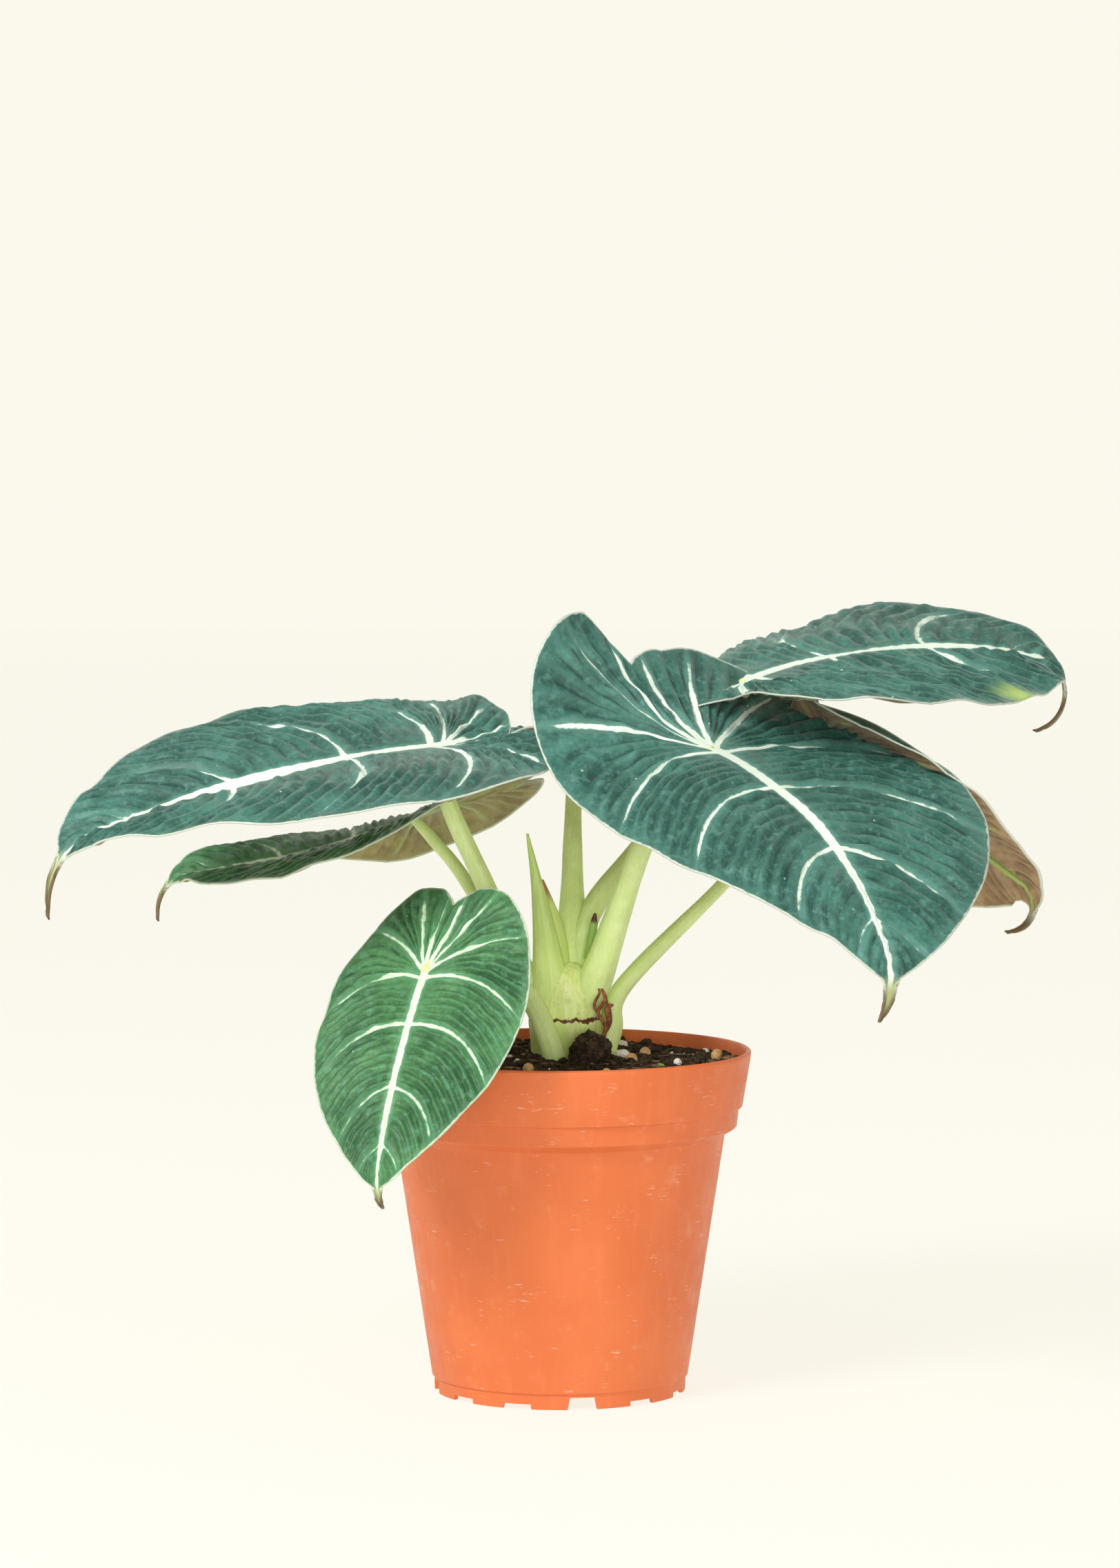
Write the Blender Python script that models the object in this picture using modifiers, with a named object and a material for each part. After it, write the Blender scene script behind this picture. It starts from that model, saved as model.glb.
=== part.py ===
"""Potted alocasia: a seven-leaved plant in a 4-inch (105 mm) nursery pot.

Standalone Blender 4.5 script, metres, +Z up. The origin is the middle of the
pot's underside, and the plant's front faces -Y. The plant grew as one piece,
so it is one closed solid: stem, sheaths, petioles and leaf blades united.
"""

from math import cos, pi, radians, sin

import bmesh
import bpy
import numpy as np
from mathutils import Matrix, Vector, noise

MM = 0.001
GAP = 0.3 * MM                 # clearance between neighbouring solids

# ---- driving dimensions, in millimetres ---------------------------------
POT_HEIGHT = 94.0
RIM_RADIUS = 52.5              # 105 mm across the lip: a 4-inch pot
RIM_BAND_HEIGHT = 15.5         # lip to the first step
LOWER_BAND_HEIGHT = 5.4        # first step to the ledge
WALL = 1.1
TOP_WALL_RADIUS = 45.3         # outside of the cone, just under the ledge
FOOT_RADIUS = 35.2             # outside of the cone, just above the foot ring
FOOT_HEIGHT = 4.3
FLOOR_UNDERSIDE = 3.5
FLOOR_TOP = 5.0
PAD_RADIUS = 6.0               # moulding pad, level with the foot ring

NOTCH_COUNT = 12
NOTCH_TURN = 10.2              # degrees that one notch sits right of the front
NOTCH_WIDTH = 8.5
NOTCH_HEIGHT_SMALL = 1.4
NOTCH_HEIGHT_LARGE = 3.3       # every third notch, with a drain slot inside it

SOIL_LEVEL = 90.3              # at the wall; heaped up towards the stem
SOIL_HEAP = 3.2
SOIL_ROUGHNESS = 1.1

STEM_AXIS = (1.5, 0.0)
STEM_FOOT = 70.0

BLADE_THICKNESS = 0.8
BLADE_ROWS = 17                # rows of faces from the basal notch to the tip
BLADE_COLUMNS = 4              # columns of faces from the midrib to the margin

# Half of a blade's outline, laid flat: (across, along) in blade lengths. The
# petiole joins at (0, 0), the blade ends at (0, 1) and the drip tip at 1.15.
HALF_OUTLINE = (
    (0.0, -0.35), (0.04, -0.39), (0.13, -0.44), (0.27, -0.41), (0.40, -0.27),
    (0.485, -0.05), (0.50, 0.18), (0.44, 0.44), (0.32, 0.66), (0.17, 0.85),
    (0.075, 0.95), (0.03, 1.0), (0.012, 1.07), (0.0, 1.15),
)
# Where the vein that ends at an outline point leaves the midrib.
VEIN_START = ((0, 5, 6, 7.3, 8.7, 10, 13), (0, 0, 0.05, 0.27, 0.58, 0.85, 1.15))

# Each leaf: its joint with the petiole (mm), length (mm), then in degrees
# heading (0 = +X, 90 = +Y), pitch, droop and hook along the midrib, rise of
# the basal lobes, sideways sweep, roll and twist, then fold and curl of the
# left and right halves, then their widths and their lobes' lengths as factors.
LEAF_FIELDS = ("joint", "length", "heading", "pitch", "droop", "lobe", "hook",
               "sweep", "roll", "twist", "fold_left", "fold_right",
               "curl_left", "curl_right", "wide_left", "wide_right",
               "lobes_left", "lobes_right")
LEAVES = {
    "left": ((-32, 0, 177.5), 113, 201, -4, -18, -50, -70, -3, 10, 7,
             10, 12, -16, -26, 0.98, 1.00, 0.50, 0.50),
    "lower_left": ((-40.5, 20, 156), 72, 180, -20, 14, 10, -89, -6, 4, 21,
                   15, 13, -20, -68, 1.00, 1.12, 1.20, 1.20),
    "front": ((-36, -50, 120), 63, 240, -54, -8, 15, -100, 17, -4, 0,
              0, 0, -22, -14, 1.00, 0.94, 1.00, 1.00),
    "front_right": ((41.5, -25, 178), 100, -43, -17, -34, -114, -98, -28, 2,
                    7, 1, -3, 7, -38, 1.29, 0.99, 0.90, 1.20),
    "back_right": ((51.5, 20, 194.5), 120, 37, 15, -29, 0, -151, -7, -22, 0,
                   2, 0, -47, 15, 1.02, 0.90, 1.00, 0.80),
    "far_right": ((74.5, 30, 172), 75.5, -22, -23, -15, 0, -135, -2, 47, 5,
                  1, 2, -33, -36, 1.05, 0.99, 1.00, 1.00),
    "back": ((4, 30, 172), 70, 97, 8, -12, -90, -40, 0, 0, 0,
             8, 8, -15, -15, 1.00, 1.00, 1.00, 1.00),
}

# Each petiole's centre line up to 0.45 mm under its blade: (x, y, z, radius).
PETIOLES = {
    "left": ((-1, 0, 92, 3.2), (-6.5, -1.5, 108, 3.0), (-20.3, -2, 138.7, 2.6),
             (-31, -1, 163, 2.4)),
    "lower_left": ((0, 2, 92, 2.6), (-6, 3.5, 105, 2.4),
                   (-25.3, 12, 138, 1.8), (-35, 17, 150, 1.7)),
    "front": ((0, -4, 81, 3.3), (-2, -8.7, 94, 3.1), (-8.6, -15, 110, 2.7),
              (-20, -29, 121, 2.3), (-30.5, -42, 124, 2.0)),
    "front_right": ((2, -1, 98, 5.0), (9.5, -4.5, 113, 4.6),
                    (15.5, -9, 131, 3.5), (22, -14, 150, 2.9),
                    (30, -19, 165, 2.4)),
    "back_right": ((3, 2, 104, 4.0), (8, 5, 130, 3.2), (23.5, 12, 150.5, 2.6),
                   (38, 17, 172, 2.3)),
    "far_right": ((8.4, 0.6, 81.5, 3.0), (13.6, 1.4, 98, 3.2),
                  (17.5, 3, 111, 2.5), (45.5, 14, 138.5, 1.8),
                  (62, 23, 156.5, 1.7)),
    "back": ((2.0, 2.5, 110, 5.6), (3.2, 5.5, 124, 4.4), (3.4, 10, 138, 3.1),
             (3.5, 15, 150, 2.6), (3.8, 23, 163, 2.1)),
}

# Sheath leaves and the bud that stand around the stem: (x, y, z, radius).
SHEATHS = {
    "spike": ((-2.2, -2.5, 108, 6.0), (-3.4, -4.0, 123, 4.6),
              (-5.6, -5.4, 138, 2.4), (-8.9, -6, 153.5, 0.35)),
    "torn": ((-1.2, 0.2, 114, 4.6), (-2.4, 0.5, 127, 3.4),
             (-5.0, 0.8, 140.4, 0.5)),
    "bud": ((8.0, -1.5, 116, 2.6), (9.2, -2.2, 128.5, 1.7),
            (9.6, -2.4, 134, 0.5)),
}

# Loose pieces on the soil: (x, y, size across, size high, turn), mm and deg.
PERLITE = ((17.0, -0.5, 5.2, 3.8, 20), (-11.5, -18, 2.6, 2.0, 50),
           (32, -13, 3.0, 2.4, 75), (40.5, 20, 2.8, 2.4, 10),
           (17.3, 34, 4.4, 3.2, 35), (-26, 25, 3.6, 2.8, 60))
PRILL = ((19.5, -10.5, 3.8), (43.3, 8.5, 3.6), (-8.5, -27, 3.6),
         (12.5, -32, 3.4), (23.5, 9.5, 3.6), (-21, -9, 3.5))
CLOD = (8.5, -15.5, 94.5, 5.8, 4.6, 5.6)      # centre, then half sizes

COLOURS = {
    "pot": ((0.75, 0.16, 0.06), 0.45),
    "potting_soil": ((0.035, 0.024, 0.015), 0.95),
    "alocasia_plant": ((0.05, 0.15, 0.11), 0.55),
    "perlite": ((0.82, 0.80, 0.74), 0.9),
    "prill": ((0.62, 0.37, 0.12), 0.4),
}


# ---- scene and object helpers -------------------------------------------
def clear_scene():
    """Remove every object that the file opens with."""
    for obj in list(bpy.data.objects):
        bpy.data.objects.remove(obj, do_unlink=True)


def new_collection(name):
    """Make a collection in the scene."""
    collection = bpy.data.collections.new(name)
    bpy.context.scene.collection.children.link(collection)
    return collection


def new_material(name, colour, roughness):
    """Make a plain Principled material."""
    material = bpy.data.materials.new(name)
    material.use_nodes = True
    shader = material.node_tree.nodes["Principled BSDF"]
    shader.inputs["Base Color"].default_value = (*colour, 1.0)
    shader.inputs["Roughness"].default_value = roughness
    shader.inputs["Metallic"].default_value = 0.0
    return material


def new_object(name, mesh, collection):
    """Wrap a mesh in an object, shaded smooth with crisp edges."""
    obj = bpy.data.objects.new(name, mesh)
    collection.objects.link(obj)
    mesh.shade_smooth()
    mesh.set_sharp_from_angle(angle=radians(40))
    return obj


def mesh_from(bm, name):
    """Turn a bmesh into a mesh and free it."""
    mesh = bpy.data.meshes.new(name)
    bm.to_mesh(mesh)
    bm.free()
    return mesh


def as_cutter(obj):
    """Hide a helper object from the finished model."""
    obj.hide_render = True
    obj.display_type = "WIRE"
    return obj


def boolean(obj, other, operation):
    """Add an exact Boolean modifier."""
    modifier = obj.modifiers.new(operation.title() + "_" + other.name,
                                 "BOOLEAN")
    modifier.operation = operation
    modifier.solver = "EXACT"
    modifier.object = other
    return modifier


def turned(name, profile, collection, steps=48, centre=(0.0, 0.0)):
    """Turn an (r, z) profile in mm, given top to bottom on its outside."""
    bm = bmesh.new()
    points = [bm.verts.new((r * MM, 0.0, z * MM)) for r, z in profile]
    for first, second in zip(points, points[1:]):
        bm.edges.new((first, second))
    mesh = bpy.data.meshes.new(name)
    bm.to_mesh(mesh)
    bm.free()
    obj = new_object(name, mesh, collection)
    obj.location = (centre[0] * MM, centre[1] * MM, 0.0)
    screw = obj.modifiers.new("Turn", "SCREW")
    screw.axis = "Z"
    screw.angle = 2.0 * pi
    screw.steps = screw.render_steps = steps
    screw.use_merge_vertices = True
    screw.merge_threshold = 0.00001
    screw.use_smooth_shade = True
    return obj


# ---- pot and soil -------------------------------------------------------
def cone_radius(z):
    """Outside radius of the pot's lower wall at height z."""
    top = POT_HEIGHT - RIM_BAND_HEIGHT - LOWER_BAND_HEIGHT - 2.1
    slope = (TOP_WALL_RADIUS - FOOT_RADIUS) / (top - FOOT_HEIGHT)
    return FOOT_RADIUS + slope * (z - FOOT_HEIGHT)


def pot_inside():
    """The inner wall as (r, z), from the lip down to the floor."""
    step = POT_HEIGHT - RIM_BAND_HEIGHT
    ledge = step - LOWER_BAND_HEIGHT
    return [
        (RIM_RADIUS - 1.3, POT_HEIGHT - 0.3),
        (RIM_RADIUS - 1.6, POT_HEIGHT - 1.6),
        (50.1 - WALL, step + 0.6),
        (49.1 - WALL, step - 0.4),
        (48.6 - WALL, ledge - 0.6),
        (TOP_WALL_RADIUS - WALL, ledge - 2.4),
        (cone_radius(FLOOR_TOP + 1.2) - WALL, FLOOR_TOP + 1.2),
        (cone_radius(FLOOR_TOP) - WALL - 0.9, FLOOR_TOP),
    ]


def build_pot(collection, cutters):
    """The thin moulded pot: two-step rim, cone, foot ring and notches."""
    step = POT_HEIGHT - RIM_BAND_HEIGHT
    ledge = step - LOWER_BAND_HEIGHT
    foot_outer = FOOT_RADIUS - 0.6
    outside = [
        (RIM_RADIUS - 0.6, POT_HEIGHT), (RIM_RADIUS, POT_HEIGHT - 0.6),
        (RIM_RADIUS - 0.1, POT_HEIGHT - 1.6), (50.1, step), (49.1, step - 0.3),
        (48.6, ledge), (48.2, ledge - 0.3), (TOP_WALL_RADIUS, ledge - 2.1),
        (FOOT_RADIUS, FOOT_HEIGHT), (foot_outer, FOOT_HEIGHT - 0.2),
        (foot_outer - 0.1, 0.0), (foot_outer - 1.4, 0.0),
        (foot_outer - 1.5, FLOOR_UNDERSIDE), (PAD_RADIUS + 0.5, FLOOR_UNDERSIDE),
        (PAD_RADIUS, 0.0), (0.0, 0.0),
    ]
    inside = [(0.0, FLOOR_TOP)] + pot_inside()[::-1]
    profile = outside + inside + [outside[0]]
    pot = turned("pot", profile, collection)

    for index in range(NOTCH_COUNT):
        turn = radians(-90 + NOTCH_TURN + index * 360 / NOTCH_COUNT)
        large = index % 3 == 0
        height = NOTCH_HEIGHT_LARGE if large else NOTCH_HEIGHT_SMALL
        notch = notch_cutter("notch_%d" % index, turn, height, cutters)
        boolean(pot, notch, "DIFFERENCE")
        if large:
            slot = box_cutter("slot_%d" % index, turn, 27.5, 4.0, 7.0, cutters)
            boolean(pot, slot, "DIFFERENCE")
    return pot


def notch_cutter(name, turn, height, cutters):
    """A trapezoid block that opens the foot ring, narrower at its top."""
    bm = bmesh.new()
    bmesh.ops.create_cube(bm, size=1.0)
    for vert in bm.verts:
        top = vert.co.z > 0
        width = NOTCH_WIDTH - (1.6 * height / NOTCH_HEIGHT_LARGE if top else 0)
        vert.co = ((FOOT_RADIUS - 0.8 + vert.co.x * 5.0) * MM,
                   vert.co.y * width * MM, (height if top else -1.0) * MM)
    bm.transform(Matrix.Rotation(turn, 4, "Z"))
    return as_cutter(new_object(name, mesh_from(bm, name), cutters))


def box_cutter(name, turn, radius, depth, width, cutters):
    """A block that cuts a drain slot through the floor."""
    bm = bmesh.new()
    bmesh.ops.create_cube(bm, size=1.0)
    for vert in bm.verts:
        vert.co = ((radius + vert.co.x * depth) * MM, vert.co.y * width * MM,
                   (vert.co.z * 6.0 + FLOOR_TOP) * MM)
    bm.transform(Matrix.Rotation(turn, 4, "Z"))
    return as_cutter(new_object(name, mesh_from(bm, name), cutters))


def soil_height(x, y):
    """Height in mm of the crumbly soil surface over a point in mm."""
    radius = (x * x + y * y) ** 0.5
    heap = SOIL_HEAP * max(0.0, 1.0 - radius / 40.0) ** 1.4
    lumps = noise.noise(Vector((x * 0.13, y * 0.13, 3.7)))
    crumbs = noise.noise(Vector((x * 0.31, y * 0.31, 8.1)))
    return SOIL_LEVEL + heap + SOIL_ROUGHNESS * (lumps + 0.6 * crumbs)


def build_soil(collection, cutters):
    """The potting mix, filling the pot to just under its lip."""
    gap = 0.35
    wall = [(r - gap, z) for r, z in pot_inside()]
    (r_high, z_high), (r_low, z_low) = wall[1], wall[2]
    blend = (SOIL_LEVEL - z_low) / (z_high - z_low)
    edge = r_low + blend * (r_high - r_low)
    rings = [0.0, 8.0, 14.0, 20.0, 26.5, 33.0, 39.5, 45.0]
    profile = [(r, SOIL_LEVEL) for r in rings] + [(edge - 0.4, SOIL_LEVEL)]
    profile += wall[2:-1]
    r_floor, z_floor = wall[-1]
    profile += [(r_floor, z_floor + gap), (0.0, z_floor + gap)]
    soil = turned("potting_soil", profile, collection, steps=32)

    # The surface is roughened on the turned mesh itself.
    depsgraph = bpy.context.evaluated_depsgraph_get()
    mesh = bpy.data.meshes.new_from_object(soil.evaluated_get(depsgraph))
    soil.modifiers.clear()
    soil.data = mesh
    for vert in mesh.vertices:
        x, y, z = (value / MM for value in vert.co)
        if z > SOIL_LEVEL - 0.01:
            fade = 1.0 if (x * x + y * y) ** 0.5 < edge - 1.0 else 0.35
            height = soil_height(x, y)
            vert.co.z = (SOIL_LEVEL + fade * (height - SOIL_LEVEL)) * MM

    clod = ellipsoid("clod", CLOD[:3], CLOD[3:], 0.0, cutters, 2, lumpy=0.16)
    boolean(soil, clod, "UNION")
    return soil


def ellipsoid(name, centre, half, turn, collection, detail, lumpy=0.0):
    """A round or lumpy grain from an icosphere; sizes in mm."""
    bm = bmesh.new()
    bmesh.ops.create_icosphere(bm, subdivisions=detail, radius=1.0)
    for vert in bm.verts:
        shape = 1.0 + lumpy * noise.noise(vert.co * 1.7 + Vector(centre))
        vert.co = Vector([c * h * shape * MM for c, h in zip(vert.co, half)])
    bm.transform(Matrix.Translation(Vector(centre) * MM)
                 @ Matrix.Rotation(radians(turn), 4, "Z"))
    return new_object(name, mesh_from(bm, name), collection)


def build_grains(collection, cutters, soil):
    """Perlite and fertiliser prills, each bedded in a pocket of the soil."""
    grains = []
    for number, (x, y, across, high, turn) in enumerate(PERLITE, 1):
        centre = (x, y, soil_height(x, y) + 0.18 * high)
        half = (across / 2, across * 0.42, high / 2)
        grains.append(("perlite_%d" % number, centre, half, turn, 0.35))
    for number, (x, y, across) in enumerate(PRILL, 1):
        centre = (x, y, soil_height(x, y) + 0.2 * across)
        grains.append(("fertiliser_prill_%d" % number, centre,
                       (across / 2,) * 3, 0.0, 0.05))
    objects = []
    for name, centre, half, turn, lumpy in grains:
        objects.append(ellipsoid(name, centre, half, turn, collection, 1,
                                 lumpy))
        room = tuple(value + 0.45 for value in half)
        pocket = ellipsoid(name + "_pocket", centre, room, turn, cutters, 1,
                           lumpy)
        boolean(soil, as_cutter(pocket), "DIFFERENCE")
    return objects


# ---- plant --------------------------------------------------------------
def spline_point(points, parameter):
    """A Catmull-Rom curve through points, at a parameter in 0..len-1."""
    points = np.asarray(points, float)
    padded = np.vstack([2 * points[0] - points[1], points,
                        2 * points[-1] - points[-2]])
    index = min(int(parameter), len(points) - 2)
    t = parameter - index
    p0, p1, p2, p3 = padded[index:index + 4]
    return 0.5 * (2 * p1 + (p2 - p0) * t + (2 * p0 - 5 * p1 + 4 * p2 - p3)
                  * t * t + (3 * p1 - 3 * p2 + p3 - p0) * t ** 3)


class Blade:
    """A leaf blade: maps the flat outline to its bent and curled place."""

    STATIONS = np.linspace(-0.7, 1.2, 191)

    def __init__(self, values):
        leaf = dict(zip(LEAF_FIELDS, values))
        self.leaf = leaf
        y = self.STATIONS
        pitch = (leaf["pitch"] + leaf["droop"] * np.maximum(y, 0)
                 + leaf["lobe"] * np.maximum(-y, 0)
                 + leaf["hook"] * np.clip((y - 0.88) / 0.25, 0, 1.3))
        heading = np.radians(leaf["heading"] + leaf["sweep"] * y)
        pitch = np.radians(pitch)
        along = np.stack([np.cos(pitch) * np.cos(heading),
                          np.cos(pitch) * np.sin(heading), np.sin(pitch)], -1)
        step = (y[1] - y[0]) * leaf["length"]
        midrib = np.zeros_like(along)
        midrib[1:] = np.cumsum((along[1:] + along[:-1]) / 2 * step, 0)
        joint = [np.interp(0, y, midrib[:, k]) for k in range(3)]
        self.midrib = midrib - joint + np.array(leaf["joint"], float)
        level = np.stack([np.sin(heading), -np.cos(heading), 0 * heading], -1)
        upward = np.cross(level, along)
        roll = np.radians(leaf["roll"] + leaf["twist"] * y)[:, None]
        self.right = np.cos(roll) * level + np.sin(roll) * upward
        self.normal = -np.sin(roll) * level + np.cos(roll) * upward

    def read(self, table, y):
        """Interpolate one of the frame tables at a station."""
        return np.array([np.interp(y, self.STATIONS, table[:, k])
                         for k in range(3)])

    def place(self, across, along, side):
        """The blade's point for flat coordinates on one side, in mm."""
        leaf = self.leaf
        hand = "right" if side > 0 else "left"
        if along < 0:
            middle = (leaf["lobes_left"] + leaf["lobes_right"]) / 2
            own = leaf["lobes_" + hand] - middle
            along *= middle + own * min(abs(across) / 0.13, 1.0)
        half = 0.5 * leaf["length"]
        reach = abs(across) * leaf["wide_" + hand] / 0.5
        fold = radians(leaf["fold_" + hand])
        curl = radians(leaf["curl_" + hand]) or 1e-4
        lateral = half / curl * (sin(fold + curl * reach) - sin(fold))
        lift = half / curl * (cos(fold) - cos(fold + curl * reach))
        return (self.read(self.midrib, along)
                + side * lateral * self.read(self.right, along)
                + lift * self.read(self.normal, along))

    def joint_under(self, depth):
        """The point a given depth under the petiole joint, in mm."""
        return self.read(self.midrib, 0) - depth * self.read(self.normal, 0)


def flat_point(row, column):
    """Flat blade coordinates: row 0..1 notch to tip, column 0..1 outwards."""
    parameter = row * (len(HALF_OUTLINE) - 1)
    out_x, out_y = spline_point(HALF_OUTLINE, parameter)
    start = np.interp(parameter, *VEIN_START)
    bend_x, bend_y = 0.55 * out_x, start + 0.25 * (out_y - start)
    keep = 1.0 - column
    x = 2 * column * keep * bend_x + column ** 2 * out_x
    y = keep ** 2 * start + 2 * column * keep * bend_y + column ** 2 * out_y
    return max(x, 0.0), y


def build_blade(name, values, collection):
    """One blade as a closed thin solid."""
    blade = Blade(values)
    bm = bmesh.new()
    bmesh.ops.create_grid(bm, x_segments=2 * BLADE_COLUMNS,
                          y_segments=BLADE_ROWS, size=1.0)
    for vert in bm.verts:
        side = 1 if vert.co.x >= 0 else -1
        row = (vert.co.y + 1.0) / 2.0
        across, along = flat_point(row, abs(vert.co.x))
        vert.co = Vector(blade.place(across, along, side)) * MM
    bmesh.ops.remove_doubles(bm, verts=bm.verts, dist=0.02 * MM)
    bmesh.ops.dissolve_degenerate(bm, edges=bm.edges, dist=0.01 * MM)
    mesh = bpy.data.meshes.new(name)
    bm.to_mesh(mesh)
    bm.free()
    obj = new_object(name, mesh, collection)
    solid = obj.modifiers.new("Thickness", "SOLIDIFY")
    solid.thickness = BLADE_THICKNESS * MM
    solid.offset = -1.0
    return as_cutter(obj), blade


def build_stalk(name, points, collection, sides=2, resolution=4):
    """A tapered stalk along points (x, y, z, radius) in mm, as a mesh."""
    data = bpy.data.curves.new(name, "CURVE")
    data.dimensions = "3D"
    data.bevel_depth = MM
    data.bevel_resolution = sides
    data.resolution_u = resolution
    data.use_fill_caps = True
    spline = data.splines.new("BEZIER")
    spline.bezier_points.add(len(points) - 1)
    for point, (x, y, z, radius) in zip(spline.bezier_points, points):
        point.co = (x * MM, y * MM, z * MM)
        point.radius = radius
        point.handle_left_type = point.handle_right_type = "AUTO"
    guide = bpy.data.objects.new(name + "_guide", data)
    collection.objects.link(guide)
    depsgraph = bpy.context.evaluated_depsgraph_get()
    mesh = bpy.data.meshes.new_from_object(guide.evaluated_get(depsgraph))
    bpy.data.objects.remove(guide, do_unlink=True)
    bm = bmesh.new()
    bm.from_mesh(mesh)
    bmesh.ops.remove_doubles(bm, verts=bm.verts, dist=0.01 * MM)
    bpy.data.meshes.remove(mesh)
    return as_cutter(new_object(name, mesh_from(bm, name), collection))


def build_plant(collection, cutters, soil):
    """Stem, sheaths, petioles and blades, united into one solid."""
    stem_profile = [(0.0, 127.0), (3.5, 126.0), (6.6, 123.5), (9.0, 119.5),
                    (10.2, 113.5), (10.2, 105.0), (9.4, 95.0), (9.0, 84.0),
                    (8.2, 74.0), (6.0, STEM_FOOT), (0.0, STEM_FOOT)]
    plant = turned("alocasia_plant", stem_profile, collection, steps=24,
                   centre=STEM_AXIS)
    hole_profile = [(0.0, 131.5), (10.9, 131.0), (10.9, 100.0), (9.9, 94.0),
                    (9.5, 84.0), (8.7, 73.7), (6.3, STEM_FOOT - 0.5),
                    (0.0, STEM_FOOT - 0.5)]
    hole = as_cutter(turned("stem_hole", hole_profile, cutters, steps=24,
                            centre=STEM_AXIS))
    boolean(soil, hole, "DIFFERENCE")

    for name, points in SHEATHS.items():
        boolean(plant, build_stalk(name, points, cutters), "UNION")
    for name, values in LEAVES.items():
        blade_object, blade = build_blade("blade_" + name, values, cutters)
        end = blade.joint_under(0.45)
        points = PETIOLES[name] + ((*end, PETIOLES[name][-1][3] * 0.75),)
        stalk = build_stalk("petiole_" + name, points, cutters)
        boolean(plant, stalk, "UNION")
        boolean(plant, blade_object, "UNION")
        if PETIOLES[name][0][2] < SOIL_LEVEL:
            room = [(x, y, z - (0.7 if index == 0 else 0.0), radius + 0.55)
                    for index, (x, y, z, radius)
                    in enumerate(PETIOLES[name][:3])]
            boolean(soil, build_stalk("room_" + name, room, cutters),
                    "DIFFERENCE")
    return plant


def main():
    """Build the pot, its soil, the loose grains and the plant."""
    clear_scene()
    parts = new_collection("potted_alocasia")
    cutters = new_collection("cutters")
    pot = build_pot(parts, cutters)
    soil = build_soil(parts, cutters)
    for obj in cutters.objects:
        as_cutter(obj)
    plant = build_plant(parts, cutters, soil)
    grains = build_grains(parts, cutters, soil)

    for obj in (pot, soil, plant):
        obj.data.materials.append(new_material(obj.name, *COLOURS[obj.name]))
    for obj in grains:
        kind = "perlite" if obj.name.startswith("perlite") else "prill"
        obj.data.materials.append(new_material(obj.name, *COLOURS[kind]))


main()
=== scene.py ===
"""Looks of a potted alocasia: leaves, stalks, soil, pot, light and camera.

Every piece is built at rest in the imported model's frame, in metres, with +Z
up and the plant's front towards -Y.
"""

import logging
import math
from dataclasses import dataclass, field
from enum import Enum

import bmesh
import bpy
import numpy as np
from mathutils import Matrix, Vector, noise


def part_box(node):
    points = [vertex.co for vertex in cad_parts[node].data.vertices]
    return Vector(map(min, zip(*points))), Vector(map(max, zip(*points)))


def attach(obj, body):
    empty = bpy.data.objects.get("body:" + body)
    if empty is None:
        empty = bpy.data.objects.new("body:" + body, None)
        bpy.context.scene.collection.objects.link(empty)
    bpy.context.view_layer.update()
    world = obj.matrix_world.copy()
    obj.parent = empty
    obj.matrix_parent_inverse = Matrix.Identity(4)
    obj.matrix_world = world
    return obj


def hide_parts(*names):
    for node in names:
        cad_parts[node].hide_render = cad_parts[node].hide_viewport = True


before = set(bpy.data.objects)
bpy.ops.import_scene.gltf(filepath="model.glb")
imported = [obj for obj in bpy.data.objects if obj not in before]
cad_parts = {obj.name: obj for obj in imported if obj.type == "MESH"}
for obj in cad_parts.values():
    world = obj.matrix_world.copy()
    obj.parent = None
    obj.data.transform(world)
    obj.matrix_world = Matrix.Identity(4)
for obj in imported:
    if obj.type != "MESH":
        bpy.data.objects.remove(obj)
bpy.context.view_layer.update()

LOG = logging.getLogger("potted_alocasia")
MM = 0.001

Colour = tuple[float, float, float]
Point = tuple[float, float, float]


# ---------------------------------------------------------------------------
# Mesh and material helpers
# ---------------------------------------------------------------------------
def smoothstep(low: float, high: float, value: np.ndarray) -> np.ndarray:
    """Blend from 0 at low to 1 at high.

    Args:
        low: Value where the blend starts.
        high: Value where the blend ends.
        value: Values to blend.

    Returns:
        The blend for each value.
    """
    t = np.clip((value - low) / (high - low), 0.0, 1.0)
    return t * t * (3.0 - 2.0 * t)


def spline(points: np.ndarray, parameter: np.ndarray) -> np.ndarray:
    """Read a Catmull-Rom curve through points.

    Args:
        points: Points that the curve passes through, one in each row.
        parameter: Places along it, from 0 to the number of points less one.

    Returns:
        One row of coordinates for each parameter.
    """
    points = np.asarray(points, float)
    padded = np.vstack([2 * points[0] - points[1], points,
                        2 * points[-1] - points[-2]])
    index = np.clip(parameter.astype(int), 0, len(points) - 2)
    t = (parameter - index)[:, None]
    p0, p1, p2, p3 = (padded[index + k] for k in range(4))
    return 0.5 * (2 * p1 + (p2 - p0) * t + (2 * p0 - 5 * p1 + 4 * p2 - p3)
                  * t * t + (3 * p1 - 3 * p2 + p3 - p0) * t ** 3)


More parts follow.
